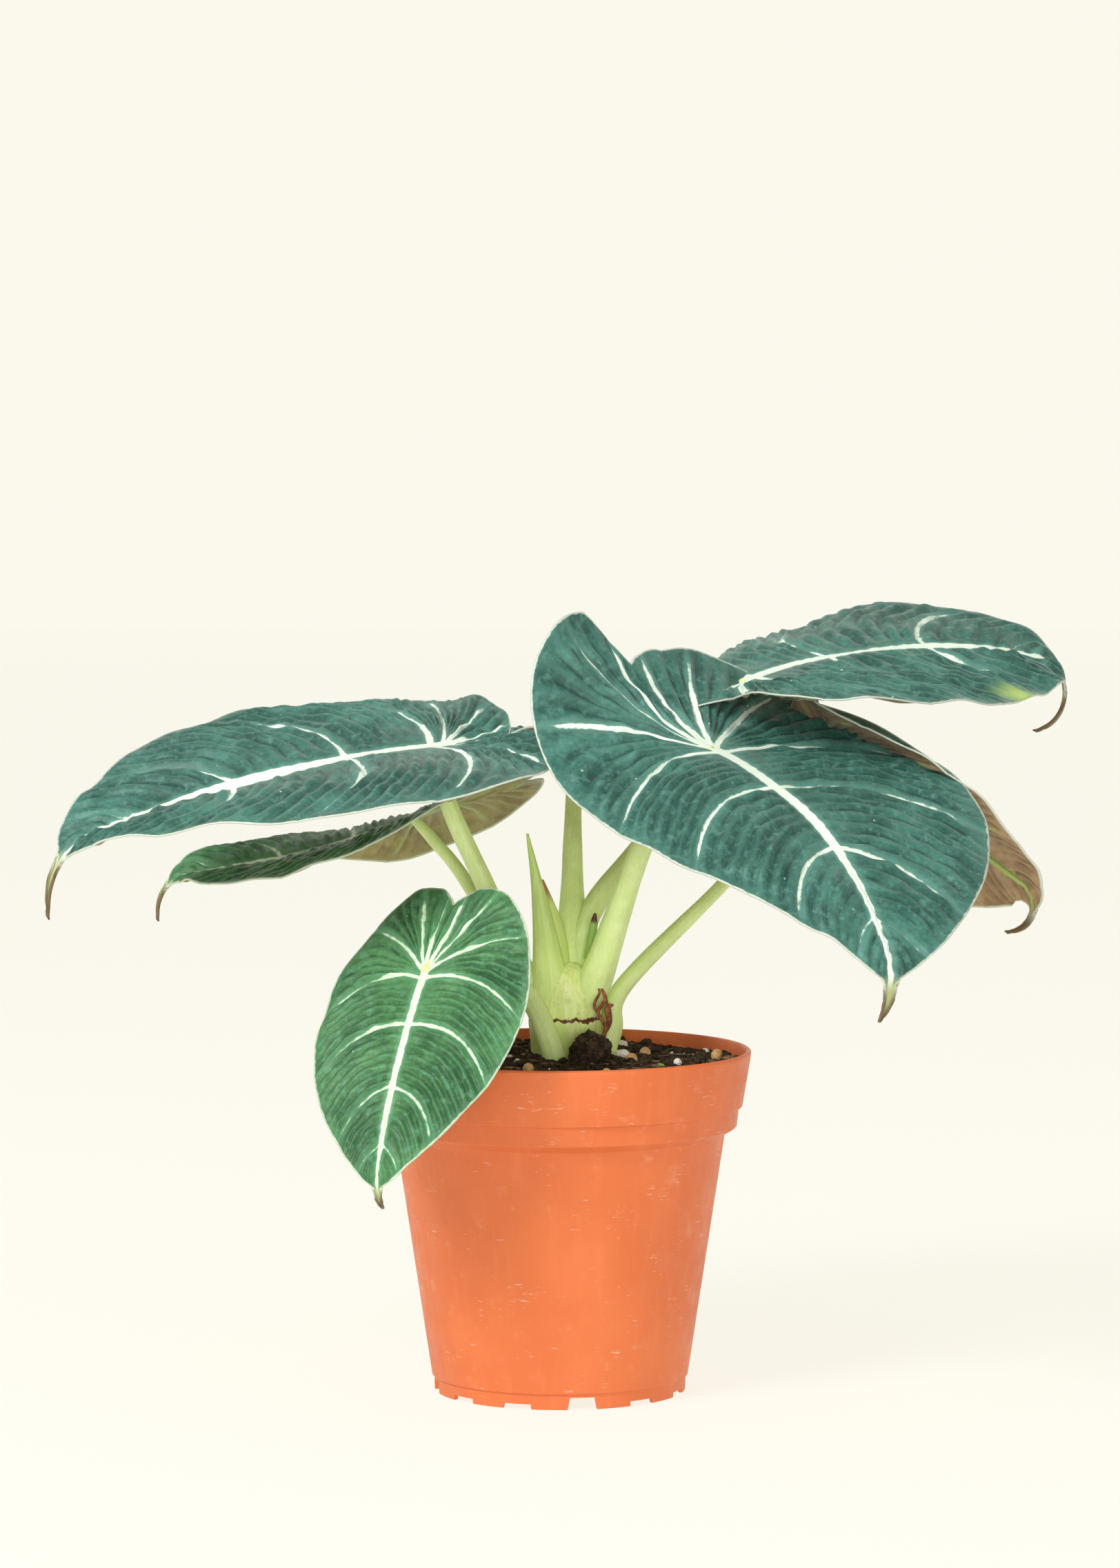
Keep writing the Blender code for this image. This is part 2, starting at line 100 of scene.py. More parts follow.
def polyline_distance(points: np.ndarray, line: np.ndarray,
                      ) -> tuple[np.ndarray, np.ndarray]:
    """Measure from points to a polyline.

    Args:
        points: Points to measure from, one in each row.
        line: The polyline's points.

    Returns:
        The distances, and how far along the line the nearest places are,
        from 0 to 1.
    """
    start, run = line[:-1], line[1:] - line[:-1]
    length = (run ** 2).sum(1) + 1e-12
    best = np.full(len(points), 1e9)
    place = np.zeros(len(points))
    for index in range(len(run)):
        t = np.clip(((points - start[index]) @ run[index]) / length[index],
                    0.0, 1.0)
        gap = np.linalg.norm(points - start[index] - t[:, None] * run[index],
                             axis=1)
        nearer = gap < best
        best[nearer] = gap[nearer]
        place[nearer] = (index + t[nearer]) / len(run)
    return best, place


def finish_piece(name: str, mesh: bpy.types.Mesh,
                 materials: list[bpy.types.Material]) -> bpy.types.Object:
    """Put a mesh in the scene as a piece that rides on the root body.

    Args:
        name: The piece's name.
        mesh: Its mesh, in place.
        materials: Its materials, in slot order.

    Returns:
        The piece.
    """
    piece = bpy.data.objects.new(name, mesh)
    bpy.context.scene.collection.objects.link(piece)
    for material in materials:
        mesh.materials.append(material)
    mesh.shade_smooth()
    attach(piece, "root")
    LOG.info("%s: %d faces", name, len(mesh.polygons))
    return piece


def bake_modifiers(piece: bpy.types.Object) -> None:
    """Apply a piece's modifiers to its mesh.

    Args:
        piece: The piece to settle.
    """
    depsgraph = bpy.context.evaluated_depsgraph_get()
    mesh = bpy.data.meshes.new_from_object(piece.evaluated_get(depsgraph))
    piece.modifiers.clear()
    piece.data = mesh


def wrapped_grid(columns: int, rows: int) -> tuple[bmesh.types.BMesh,
                                                   np.ndarray]:
    """Start a surface from a square grid.

    Args:
        columns: Faces across.
        rows: Faces along.

    Returns:
        The bmesh, and each vertex's (across, along), both from -1 to 1.
    """
    bm = bmesh.new()
    bmesh.ops.create_grid(bm, x_segments=columns, y_segments=rows, size=1.0)
    return bm, np.array([vert.co[:2] for vert in bm.verts])


def move_vertices(bm: bmesh.types.BMesh, places: np.ndarray) -> None:
    """Move a bmesh's vertices to new places in metres.

    Args:
        bm: The bmesh.
        places: One row for each vertex.
    """
    for vert, place in zip(bm.verts, places):
        vert.co = place


def add_layers(bm: bmesh.types.BMesh, values: dict[str, np.ndarray]) -> None:
    """Store values on a bmesh's vertices as named attributes.

    Args:
        bm: The bmesh.
        values: Attribute name to one value for each vertex.
    """
    for name, column in values.items():
        layer = bm.verts.layers.float.new(name)
        for vert, value in zip(bm.verts, column):
            vert[layer] = float(value)


def mesh_of(bm: bmesh.types.BMesh, name: str) -> bpy.types.Mesh:
    """Turn a bmesh into a mesh and free it.

    Args:
        bm: The bmesh.
        name: The mesh's name.

    Returns:
        The mesh.
    """
    mesh = bpy.data.meshes.new(name)
    bm.to_mesh(mesh)
    bm.free()
    return mesh


class Shader:
    """Builds one Principled material's node tree."""

    def __init__(self, name: str, roughness: float = 0.5) -> None:
        """Start a material.

        Args:
            name: The material's name.
            roughness: Its plain roughness.
        """
        self.material = bpy.data.materials.new(name)
        self.material.use_nodes = True
        self.tree = self.material.node_tree
        self.principled = self.tree.nodes["Principled BSDF"]
        self.set(Roughness=roughness)

    def set(self, **values: float | tuple) -> None:
        """Set plain values on the shader; _ in a name stands for a space."""
        for name, value in values.items():
            socket = self.principled.inputs[name.replace("_", " ")]
            socket.default_value = value

    def node(self, kind: str, **settings: object) -> bpy.types.Node:
        """Add a node.

        Args:
            kind: The node's type, without the ShaderNode prefix.
            **settings: Its properties.

        Returns:
            The node.
        """
        node = self.tree.nodes.new("ShaderNode" + kind)
        for name, value in settings.items():
            setattr(node, name, value)
        return node

    def join(self, source: object, socket: bpy.types.NodeSocket) -> None:
        """Feed a socket from another socket, or set its plain value.

        Args:
            source: A socket, a number or a colour.
            socket: The input to feed.
        """
        if isinstance(source, bpy.types.NodeSocket):
            self.tree.links.new(source, socket)
        elif isinstance(source, tuple) and len(source) == 3 and \
                socket.type == "RGBA":
            socket.default_value = (*source, 1.0)
        else:
            socket.default_value = source

    def attribute(self, name: str) -> bpy.types.NodeSocket:
        """Read one of the mesh's own values."""
        return self.node("Attribute", attribute_name=name).outputs["Fac"]

    def place(self, stretch: Point = (1.0, 1.0, 1.0)) -> bpy.types.NodeSocket:
        """Read Object coordinates in millimetres, stretched.

        Args:
            stretch: How many times finer the pattern is along each axis.

        Returns:
            The coordinate socket.
        """
        source = self.node("TexCoord").outputs["Object"]
        mapping = self.node("Mapping")
        mapping.inputs["Scale"].default_value = [1000.0 * s for s in stretch]
        self.join(source, mapping.inputs["Vector"])
        return mapping.outputs["Vector"]

    def noise(self, size: float, detail: float = 3.0, rough: float = 0.5,
              stretch: Point = (1.0, 1.0, 1.0)) -> bpy.types.NodeSocket:
        """Read a noise pattern.

        Args:
            size: The size of its features, in millimetres.
            detail: Its octaves.
            rough: How strong the fine octaves are.
            stretch: How many times finer it is along each axis.

        Returns:
            The value socket, from 0 to 1.
        """
        node = self.node("TexNoise")
        self.join(self.place(stretch), node.inputs["Vector"])
        node.inputs["Scale"].default_value = 1.0 / size
        node.inputs["Detail"].default_value = detail
        node.inputs["Roughness"].default_value = rough
        return node.outputs["Fac"]

    def cells(self, size: float) -> bpy.types.NodeSocket:
        """Read the distance to scattered points, in cell sizes.

        Args:
            size: The spacing of the points, in millimetres.

        Returns:
            The distance socket.
        """
        node = self.node("TexVoronoi")
        self.join(self.place(), node.inputs["Vector"])
        node.inputs["Scale"].default_value = 1.0 / size
        return node.outputs["Distance"]

    def math(self, operation: str, a: object, b: object = 0.0,
             ) -> bpy.types.NodeSocket:
        """Combine two values.

        Args:
            operation: A Math node operation.
            a: A socket or number.
            b: A socket or number.

        Returns:
            The result socket.
        """
        node = self.node("Math", operation=operation)
        self.join(a, node.inputs[0])
        self.join(b, node.inputs[1])
        return node.outputs[0]

    def step(self, value: object, low: float, high: float, start: float = 0.0,
             end: float = 1.0) -> bpy.types.NodeSocket:
        """Map a value smoothly from low..high to start..end.

        Args:
            value: The value socket.
            low: Value where the blend starts.
            high: Value where the blend ends.
            start: Result at low.
            end: Result at high.

        Returns:
            The result socket.
        """
        node = self.node("MapRange", interpolation_type="SMOOTHSTEP")
        self.join(value, node.inputs["Value"])
        for name, number in (("From Min", low), ("From Max", high),
                             ("To Min", start), ("To Max", end)):
            node.inputs[name].default_value = number
        return node.outputs["Result"]

    def mix(self, factor: object, a: object, b: object, blend: str = "MIX",
            ) -> bpy.types.NodeSocket:
        """Mix two colours.

        Args:
            factor: How much of b shows.
            a: A colour socket or colour.
            b: A colour socket or colour.
            blend: The Mix node's blend type.

        Returns:
            The colour socket.
        """
        node = self.node("Mix", data_type="RGBA", blend_type=blend)
        self.join(factor, node.inputs["Factor"])
        self.join(a, node.inputs[6])
        self.join(b, node.inputs[7])
        return node.outputs[2]

    def bump(self, height: object, depth: float, below: object = None,
             ) -> bpy.types.NodeSocket:
        """Add relief.

        Args:
            height: The height socket, from 0 to 1.
            depth: The relief's depth in millimetres.
            below: The normal of a coarser relief, if there is one.

        Returns:
            The normal socket.
        """
        node = self.node("Bump")
        node.inputs["Strength"].default_value = 1.0
        node.inputs["Distance"].default_value = depth * MM
        self.join(height, node.inputs["Height"])
        if below is not None:
            self.join(below, node.inputs["Normal"])
        return node.outputs["Normal"]

    def done(self, colour: object, normal: object = None,
             roughness: object = None) -> bpy.types.Material:
        """Feed the shader and return the material.

        Args:
            colour: Base colour.
            normal: Normal socket, if there is relief.
            roughness: Roughness socket, if it varies.

        Returns:
            The material.
        """
        self.join(colour, self.principled.inputs["Base Color"])
        if normal is not None:
            self.join(normal, self.principled.inputs["Normal"])
        if roughness is not None:
            self.join(roughness, self.principled.inputs["Roughness"])
        return self.material


# ---------------------------------------------------------------------------
# Leaf blades
# ---------------------------------------------------------------------------
class LeafTint(Enum):
    """The two ages of leaf on the plant."""

    TEAL = "mature, blue-green"
    GREEN = "young, fresher green"


@dataclass(frozen=True)
class LeafFinish:
    """Colours of one kind of leaf, top and underside."""

    name: str
    dark: Colour
    light: Colour
    # Dark colour laid in the fold valleys as painted shade.
    valley: Colour
    vein: Colour
    # Pale colour laid on fold crests and blisters as a painted highlight.
    painted_highlight: Colour
    halo: Colour
    margin: Colour
    under_light: Colour
    under_dark: Colour
    under_vein: Colour

    def top(self) -> bpy.types.Material:
        """Make the velvety upper side, with crisp pale veins and margin."""
        shader = Shader(self.name + "_top", 0.5)
        shader.set(Sheen_Weight=0.2, Sheen_Roughness=0.4,
                   Sheen_Tint=(0.75, 0.92, 0.85, 1.0),
                   Specular_IOR_Level=0.35)
        broad = shader.step(shader.noise(16.0, 4.0, 0.6), 0.35, 0.68)
        colour = shader.mix(broad, self.dark, self.light)
        fine = shader.step(shader.noise(1.1, 4.0, 0.65), 0.3, 0.75, 0.78, 1.22)
        grey = shader.node("CombineColor")
        for channel in ("Red", "Green", "Blue"):
            shader.join(fine, grey.inputs[channel])
        colour = shader.mix(1.0, colour, grey.outputs[0], "MULTIPLY")
        # Deep in the fold valleys the colour darkens towards the valley
        # colour: painted shade in the creases.
        valley = shader.step(shader.attribute("valley"), 0.45, 1.0, 0.0, 0.75)
        # On the fold crests the colour lightens towards the pale ridge colour:
        # a painted highlight.
        ridge_highlight = shader.step(shader.attribute("valley"), 0.0, 0.12, 0.20, 0.0)
        colour = shader.mix(ridge_highlight, colour, self.painted_highlight)
        colour = shader.mix(valley, colour, self.valley)
        vein = shader.attribute("vein")
        colour = shader.mix(shader.step(vein, -1.7, 0.1, 0.0, 0.42), colour,
                            self.halo)
        # Mottled lighter patches of the pale ridge colour: a painted highlight
        # on the blistered surface.
        blister_highlight = shader.step(shader.noise(2.6, 4.0, 0.6), 0.48, 0.74, 0.0,
                              0.75)
        colour = shader.mix(blister_highlight, colour, self.painted_highlight)
        speck = shader.math("MULTIPLY",
                            shader.step(shader.cells(5.7), 0.03, 0.075,
                                        0.65, 0.0),
                            shader.step(shader.noise(14.0, 2.0), 0.5, 0.6))
        colour = shader.mix(speck, colour, self.vein)
        edge = shader.attribute("edge")
        wobble = shader.step(shader.noise(2.4, 2.0), 0.3, 0.7, -0.12, 0.14)
        rim = shader.step(shader.math("ADD", edge, wobble), 0.25, 0.6,
                          0.85, 0.0)
        colour = shader.mix(rim, colour, self.margin)
        crisp = shader.step(shader.math("ADD", vein, wobble), -0.16, 0.22)
        colour = shader.mix(crisp, colour, self.vein)
        colour = shader.mix(shader.attribute("nick"), colour,
                            (0.46, 0.62, 0.16))
        along = shader.attribute("along")
        colour = shader.mix(shader.step(along, 0.97, 1.03), colour,
                            (0.46, 0.50, 0.24))
        colour = shader.mix(shader.step(along, 1.03, 1.13), colour,
                            (0.20, 0.13, 0.06))
        soft = shader.bump(shader.noise(0.55, 3.0, 0.6), 0.035)
        pitted = shader.bump(shader.noise(2.2, 3.0), 0.09, soft)
        rough = shader.step(vein, -0.3, 0.3, 0.47, 0.42)
        return shader.done(colour, pitted, rough)

    def under(self) -> bpy.types.Material:
        """Make the paler underside, with raised green veins."""
        shader = Shader(self.name + "_under", 0.6)
        shader.set(Specular_IOR_Level=0.3, Sheen_Weight=0.15)
        blotch = shader.step(shader.noise(9.0, 5.0, 0.65), 0.36, 0.66)
        colour = shader.mix(blotch, self.under_light, self.under_dark)
        valley = shader.step(shader.attribute("valley"), 0.35, 1.0, 0.0, 0.6)
        colour = shader.mix(valley, colour, self.under_light)
        vein = shader.attribute("vein")
        colour = shader.mix(shader.step(vein, -0.25, 0.25), colour,
                            self.under_vein)
        rim = shader.step(shader.attribute("edge"), 0.3, 0.8, 0.9, 0.0)
        colour = shader.mix(rim, colour, self.margin)
        tip = shader.step(shader.attribute("along"), 0.985, 1.06)
        colour = shader.mix(tip, colour, (0.16, 0.11, 0.05))
        relief = shader.bump(shader.noise(0.9, 4.0, 0.6), 0.06)
        return shader.done(colour, relief)


# In each finish the valley colour is painted shade for the fold valleys, and
# the pale ridge colour is a painted highlight for the fold crests and
# blisters.
FINISHES = {
    LeafTint.TEAL: LeafFinish(
        name="teal_leaf",
        dark=(0.016, 0.080, 0.060), light=(0.052, 0.175, 0.135),
        valley=(0.008, 0.036, 0.034), vein=(0.80, 0.90, 0.78),
        painted_highlight=(0.10, 0.25, 0.21), halo=(0.17, 0.40, 0.33),
        margin=(0.62, 0.66, 0.56), under_light=(0.42, 0.29, 0.15),
        under_dark=(0.24, 0.16, 0.085), under_vein=(0.36, 0.46, 0.13)),
    LeafTint.GREEN: LeafFinish(
        name="green_leaf",
        dark=(0.022, 0.105, 0.028), light=(0.070, 0.215, 0.075),
        valley=(0.007, 0.046, 0.020), vein=(0.66, 0.84, 0.60),
        painted_highlight=(0.09, 0.27, 0.14), halo=(0.15, 0.40, 0.20),
        margin=(0.58, 0.68, 0.50), under_light=(0.38, 0.34, 0.13),
        under_dark=(0.24, 0.20, 0.08), under_vein=(0.36, 0.46, 0.16)),
}


@dataclass
class LeafBlade:
    """One arrow-shaped blade, laid out flat and then bent into place.

    Angles are in degrees; factors of the length are for a flat blade whose
    petiole joins at (0, 0) and whose blade ends at (0, 1).
    """

    name: str
    joint: Point
    length: float
    heading: float
    pitch: float
    droop: float
    lobe: float
    hook: float
    sweep: float
    roll: float
    twist: float
    fold: tuple[float, float]
    curl: tuple[float, float]
    wide: tuple[float, float]
    lobes: tuple[float, float]
    tint: LeafTint
    seed: float = 0.0
    ruffle: float = 0.4
    nick: tuple[float, float] = (1.0, -9.0)
    thickness: float = 0.45
    rows: int = 236
    columns: int = 48

    OUTLINE = (
        (0.0, -0.35), (0.04, -0.39), (0.13, -0.44), (0.27, -0.41),
        (0.40, -0.27), (0.485, -0.05), (0.50, 0.18), (0.44, 0.44),
        (0.32, 0.66), (0.17, 0.85), (0.075, 0.95), (0.017, 1.0),
        (0.006, 1.07), (0.0, 1.15))
    # Lines of growth from midrib to margin: outline place, start on the
    # midrib, the bend's (across, along), and how many folds precede each.
    FLOW = (
        (0.0, 0.0, 0.0, -0.17, 0), (2.1, 0.0, 0.07, -0.17, 3),
        (3.9, 0.0, 0.17, -0.20, 8), (6.05, 0.03, 0.29, -0.06, 14),
        (7.3, 0.25, 0.28, 0.21, 21), (8.7, 0.54, 0.17, 0.57, 28),
        (9.8, 0.80, 0.06, 0.83, 33), (13.0, 1.15, 0.0, 1.15, 40))
    # Primary veins: outline place, half width at the start, and at the margin.
    VEINS = ((1.15, 0.0160, 0.0050), (2.6, 0.0085, 0.0040),
             (4.2, 0.0085, 0.0040), (6.05, 0.0095, 0.0042),
             (7.3, 0.0085, 0.0042), (8.7, 0.0070, 0.0034),
             (9.8, 0.0036, 0.0013))
    STATIONS = np.linspace(-0.7, 1.2, 381)

    def frames(self) -> tuple[np.ndarray, np.ndarray, np.ndarray]:
        """Work out the bent midrib.

        Returns:
            Tables of its points (mm), right-hand directions and normals at
            the stations.
        """
        y = self.STATIONS
        pitch = np.radians(self.pitch + self.droop * np.maximum(y, 0)
                           + self.lobe * np.maximum(-y, 0)
                           + self.hook * np.clip((y - 0.88) / 0.25, 0, 1.3))
        heading = np.radians(self.heading + self.sweep * y)
        along = np.stack([np.cos(pitch) * np.cos(heading),
                          np.cos(pitch) * np.sin(heading), np.sin(pitch)], -1)
        step = (y[1] - y[0]) * self.length
        midrib = np.zeros_like(along)
        midrib[1:] = np.cumsum((along[1:] + along[:-1]) / 2 * step, 0)
        origin = [np.interp(0, y, midrib[:, k]) for k in range(3)]
        midrib += np.array(self.joint, float) - origin
        level = np.stack([np.sin(heading), -np.cos(heading), 0 * heading], -1)
        upward = np.cross(level, along)
        roll = np.radians(self.roll + self.twist * y)[:, None]
        right = np.cos(roll) * level + np.sin(roll) * upward
        return midrib, right, -np.sin(roll) * level + np.cos(roll) * upward

    def place(self, across: np.ndarray, along: np.ndarray,
              side: np.ndarray) -> np.ndarray:
        """Bend flat points into place.

        Args:
            across: Distance from the midrib, in blade lengths.
            along: Distance from the joint along the midrib.
            side: 1 on the right half, -1 on the left.

        Returns:
            The points in millimetres.
        """
        right_half = side > 0
        middle = sum(self.lobes) / 2
        own = np.where(right_half, self.lobes[1], self.lobes[0]) - middle
        stretch = middle + own * np.minimum(np.abs(across) / 0.13, 1.0)
        along = np.where(along < 0, along * stretch, along)
        pick = [np.where(right_half, pair[1], pair[0])
                for pair in (self.wide, self.fold, self.curl)]
        reach, fold, curl = pick[0] * across / 0.5, *np.radians(pick[1:])
        curl = np.where(np.abs(curl) < 1e-4, 1e-4, curl)
        half = 0.5 * self.length
        lateral = half / curl * (np.sin(fold + curl * reach) - np.sin(fold))
        lift = half / curl * (np.cos(fold) - np.cos(fold + curl * reach))
        midrib, right, normal = (
            np.stack([np.interp(along, self.STATIONS, table[:, k])
                      for k in range(3)], -1) for table in self.frames())
        return (midrib + (side * lateral)[:, None] * right
                + lift[:, None] * normal)

    def flow(self, parameter: np.ndarray, outwards: np.ndarray,
             ) -> tuple[np.ndarray, np.ndarray]:
        """Follow the lines of growth.

        Args:
            parameter: Place round the half outline, from notch to tip.
            outwards: 0 on the midrib, 1 on the margin.

        Returns:
            Flat across and along coordinates.
        """
        margin = spline(np.array(self.OUTLINE), parameter)
        place, start, bend_x, bend_y, _ = np.array(self.FLOW).T
        y0 = np.interp(parameter, place, start)
        x1 = np.interp(parameter, place, bend_x)
        y1 = np.interp(parameter, place, bend_y)
        s, keep = outwards, 1.0 - outwards
        across = 2 * s * keep * x1 + s * s * margin[:, 0]
        return (np.maximum(across, 0.0),
                keep * keep * y0 + 2 * s * keep * y1 + s * s * margin[:, 1])

    def vein_depth(self, flat: np.ndarray) -> np.ndarray:
        """Measure how far inside a pale vein each point is.

        Args:
            flat: Points (across, along) on one half.

        Returns:
            Millimetres inside the nearest vein's edge, negative outside.
        """
        t = np.linspace(0.0, 1.0, 25)
        midrib = np.array([[0.0, -0.02], [0.0, 1.12]])
        gap, place = polyline_distance(flat, midrib)
        inside = 0.0165 * (1 - place) ** 0.8 + 0.0035 - gap
        for outline_place, wide, narrow in self.VEINS:
            line = np.stack(self.flow(np.full(25, outline_place), t), -1)
            gap, place = polyline_distance(flat, line)
            width = wide + (narrow - wide) * place ** 0.7
            width = width - 0.010 * smoothstep(0.80, 1.10, place)
            inside = np.maximum(inside, width - gap)
        joint = 0.020 - np.linalg.norm(flat, axis=1)
        return np.maximum(inside, joint) * self.length

    def relief(self, parameter: np.ndarray, outwards: np.ndarray,
               flat: np.ndarray, side: np.ndarray, vein: np.ndarray,
               ) -> tuple[np.ndarray, np.ndarray]:
        """Work out the blade's quilted relief.

        Args:
            parameter: Place round the half outline.
            outwards: 0 on the midrib, 1 on the margin.
            flat: Flat coordinates.
            side: 1 on the right half, -1 on the left.
            vein: Millimetres inside a vein.

        Returns:
            The height in millimetres, and how deep in a fold each point is,
            from 0 to 1.
        """
        place, _, _, _, folds = np.array(self.FLOW).T
        wander = np.array([noise.noise(Vector((x * 7 + 3 * s, y * 7,
                                               self.seed)))
                           for (x, y), s in zip(flat, side)])
        fine = np.array([noise.noise(Vector((x * 19 + 3 * s, y * 19,
                                             self.seed + 9)))
                         for (x, y), s in zip(flat, side)])
        phase = (np.interp(parameter, place, folds) + 0.42 * wander
                 + 0.10 * fine)
        depth = 0.85 + 0.5 * fine
        valley = np.abs(np.cos(np.pi * phase)) ** 4 * np.clip(depth, 0.55, 1)
        away = np.hypot(*flat.T)
        shown = (smoothstep(0.06, 0.22, away) * smoothstep(0.0, 0.18, outwards)
                 * (1.0 - smoothstep(0.86, 1.0, outwards))
                 * (1.0 - smoothstep(0.90, 1.02, flat[:, 1])))
        valley = valley * shown
        scale = self.length / 100.0
        height = -0.75 * scale * valley
        height += (0.50 * scale * np.sin(np.pi * phase) ** 2
                   * (1 + 1.2 * fine) * shown)
        height += 0.55 * scale * fine * shown
        groove = smoothstep(-1.6, 0.2, vein)
        height -= 0.75 * scale * groove * (0.35 + 0.65 * shown)
        lane = np.interp(parameter, place[1:], np.arange(len(place) - 1))
        puff = np.sin(np.pi * lane) ** 2 * smoothstep(0.0, 0.45, outwards)
        height += 0.9 * scale * puff * (1.0 - smoothstep(0.9, 1.0, flat[:, 1]))
        wave = np.sin(2 * np.pi * lane * 1.5 + 2.0 * side + self.seed)
        height += (self.ruffle * 0.9 * scale * wave * outwards ** 4
                   * (1.0 - smoothstep(0.82, 0.98, flat[:, 1])))
        broad = np.array([noise.noise(Vector((x * 3.1, y * 3.1 + s,
                                              self.seed + 5)))
                          for (x, y), s in zip(flat, side)])
        height += 1.3 * scale * broad * smoothstep(0.05, 0.3, away) * (
            1.0 - smoothstep(0.85, 1.0, flat[:, 1]))
        return height, valley

    def build(self) -> bpy.types.Object:
        """Make the blade.

        Returns:
            The finished blade piece.
        """
        bm, grid = wrapped_grid(2 * self.columns, self.rows)
        side = np.where(grid[:, 0] >= 0, 1.0, -1.0)
        outwards = np.abs(grid[:, 0])
        outwards = np.where(outwards > 0.999, 1.0,
                            outwards ** 1.15 * (1.3 - 0.3 * outwards))
        outline = spline(np.array(self.OUTLINE), np.linspace(0, 13, 261))
        run = np.concatenate([[0], np.cumsum(np.linalg.norm(
            np.diff(outline, axis=0), axis=1))])
        parameter = np.interp((grid[:, 1] + 1) / 2 * run[-1], run,
                              np.linspace(0, 13, 261))
        across, along = self.flow(parameter, outwards)
        flat = np.stack([across, along], -1)
        vein = self.vein_depth(flat)
        edge, _ = polyline_distance(flat, outline)
        height, valley = self.relief(parameter, outwards, flat, side, vein)

        step = 0.004
        centre = self.place(across, along, side)
        tangent = self.place(across, along + step, side) - centre
        sideways = self.place(across + step, along, side) - centre
        normal = np.cross(sideways * side[:, None], tangent)
        normal /= np.linalg.norm(normal, axis=1)[:, None] + 1e-12
        move_vertices(bm, (centre + height[:, None] * normal) * MM)
        nick = (np.exp(-((parameter - self.nick[1]) / 0.22) ** 2)
                * smoothstep(0.80, 0.97, outwards) * (side == self.nick[0]))
        add_layers(bm, {"vein": vein, "valley": valley, "along": along,
                        "edge": edge * self.length, "nick": nick})
        bmesh.ops.remove_doubles(bm, verts=bm.verts, dist=0.004 * MM)
        mesh = mesh_of(bm, "blade_" + self.name)
        finish = MATERIALS[self.tint]
        piece = finish_piece("blade_" + self.name, mesh,
                             [finish[0], finish[1]])
        solid = piece.modifiers.new("Thickness", "SOLIDIFY")
        solid.thickness = self.thickness * MM
        solid.offset = -1.0
        solid.material_offset = 1
        solid.material_offset_rim = 0
        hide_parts("alocasia_plant")
        return piece


@dataclass
class Stalk:
    """A tapered round stalk along given points (x, y, z, radius)."""

    name: str
    points: tuple[tuple[float, float, float, float], ...]
    rows: int = 90
    around: int = 40
    rib: float = 0.035

    def build(self, material: bpy.types.Material) -> bpy.types.Object:
        """Make the stalk.

        Args:
            material: Its finish.

        Returns:
            The stalk piece.
        """
        bm, grid = wrapped_grid(self.around, self.rows)
        row = (grid[:, 1] + 1) / 2
        turn = (grid[:, 0] + 1) * math.pi
        stations = np.linspace(0, 1, 201)
        path = spline(np.array(self.points), stations * (len(self.points) - 1))
        centre, radius = path[:, :3], path[:, 3]
        along = np.gradient(centre, axis=0)
        along /= np.linalg.norm(along, axis=1)[:, None]
        run = np.concatenate([[0], np.cumsum(np.linalg.norm(
            np.diff(centre, axis=0), axis=1))])
        across = np.cross(along, np.array([0.0, 1.0, 0.12]))
        across /= np.linalg.norm(across, axis=1)[:, None]
        upward = np.cross(across, along)
        cap = 0.012
        body = np.clip((row - cap) / (1 - 2 * cap), 0, 1)
        place = np.interp(body * run[-1], run, stations)

        def read(table: np.ndarray) -> np.ndarray:
            """Read a table of vectors at each vertex's place."""
            return np.stack([np.interp(place, stations, table[:, k])
                             for k in range(3)], -1)

        size = np.interp(place, stations, radius)
        size = size * (1 + self.rib * np.cos(9 * turn) * np.cos(3 * turn + 1))
        size *= np.clip(np.minimum(row, 1 - row) / cap, 0, 1) ** 0.5
        wander = np.array([noise.noise(Vector(p) * 0.09)
                           for p in read(centre)])
        size *= 1 + 0.05 * wander
        places = (read(centre) + (size * np.cos(turn))[:, None] * read(across)
                  + (size * np.sin(turn))[:, None] * read(upward))
        move_vertices(bm, places * MM)
        add_layers(bm, {"turn": turn, "up": body})
        bmesh.ops.remove_doubles(bm, verts=bm.verts, dist=0.003 * MM)
        bmesh.ops.recalc_face_normals(bm, faces=bm.faces)
        piece = finish_piece(self.name, mesh_of(bm, self.name),
                             [material])
        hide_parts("alocasia_plant")
        return piece


@dataclass(frozen=True)
class StalkFinish:
    """Pale green juicy stalk tissue."""

    name: str
    low: Colour
    high: Colour
    streak: Colour

    def make(self) -> bpy.types.Material:
        """Make the finish: long streaks, freckles and a soft gloss."""
        shader = Shader(self.name, 0.42)
        shader.set(Specular_IOR_Level=0.42, Subsurface_Weight=0.12,
                   Subsurface_Scale=0.002,
                   Subsurface_Radius=(0.8, 1.0, 0.4))
        up = shader.attribute("up")
        colour = shader.mix(shader.step(up, 0.05, 0.75), self.low, self.high)
        streaks = shader.noise(1.0, 3.0, 0.6, (1.5, 1.5, 0.12))
        colour = shader.mix(shader.step(streaks, 0.42, 0.72, 0.0, 0.5), colour,
                            self.streak)
        freckle = shader.step(shader.noise(0.7, 2.0), 0.66, 0.74, 0.0, 0.28)
        colour = shader.mix(freckle, colour, (0.30, 0.27, 0.08))
        patch = shader.step(shader.noise(7.0, 3.0), 0.4, 0.7, 0.0, 0.35)
        colour = shader.mix(patch, colour, (0.52, 0.66, 0.22))
        relief = shader.bump(streaks, 0.12)
        return shader.done(colour, relief)


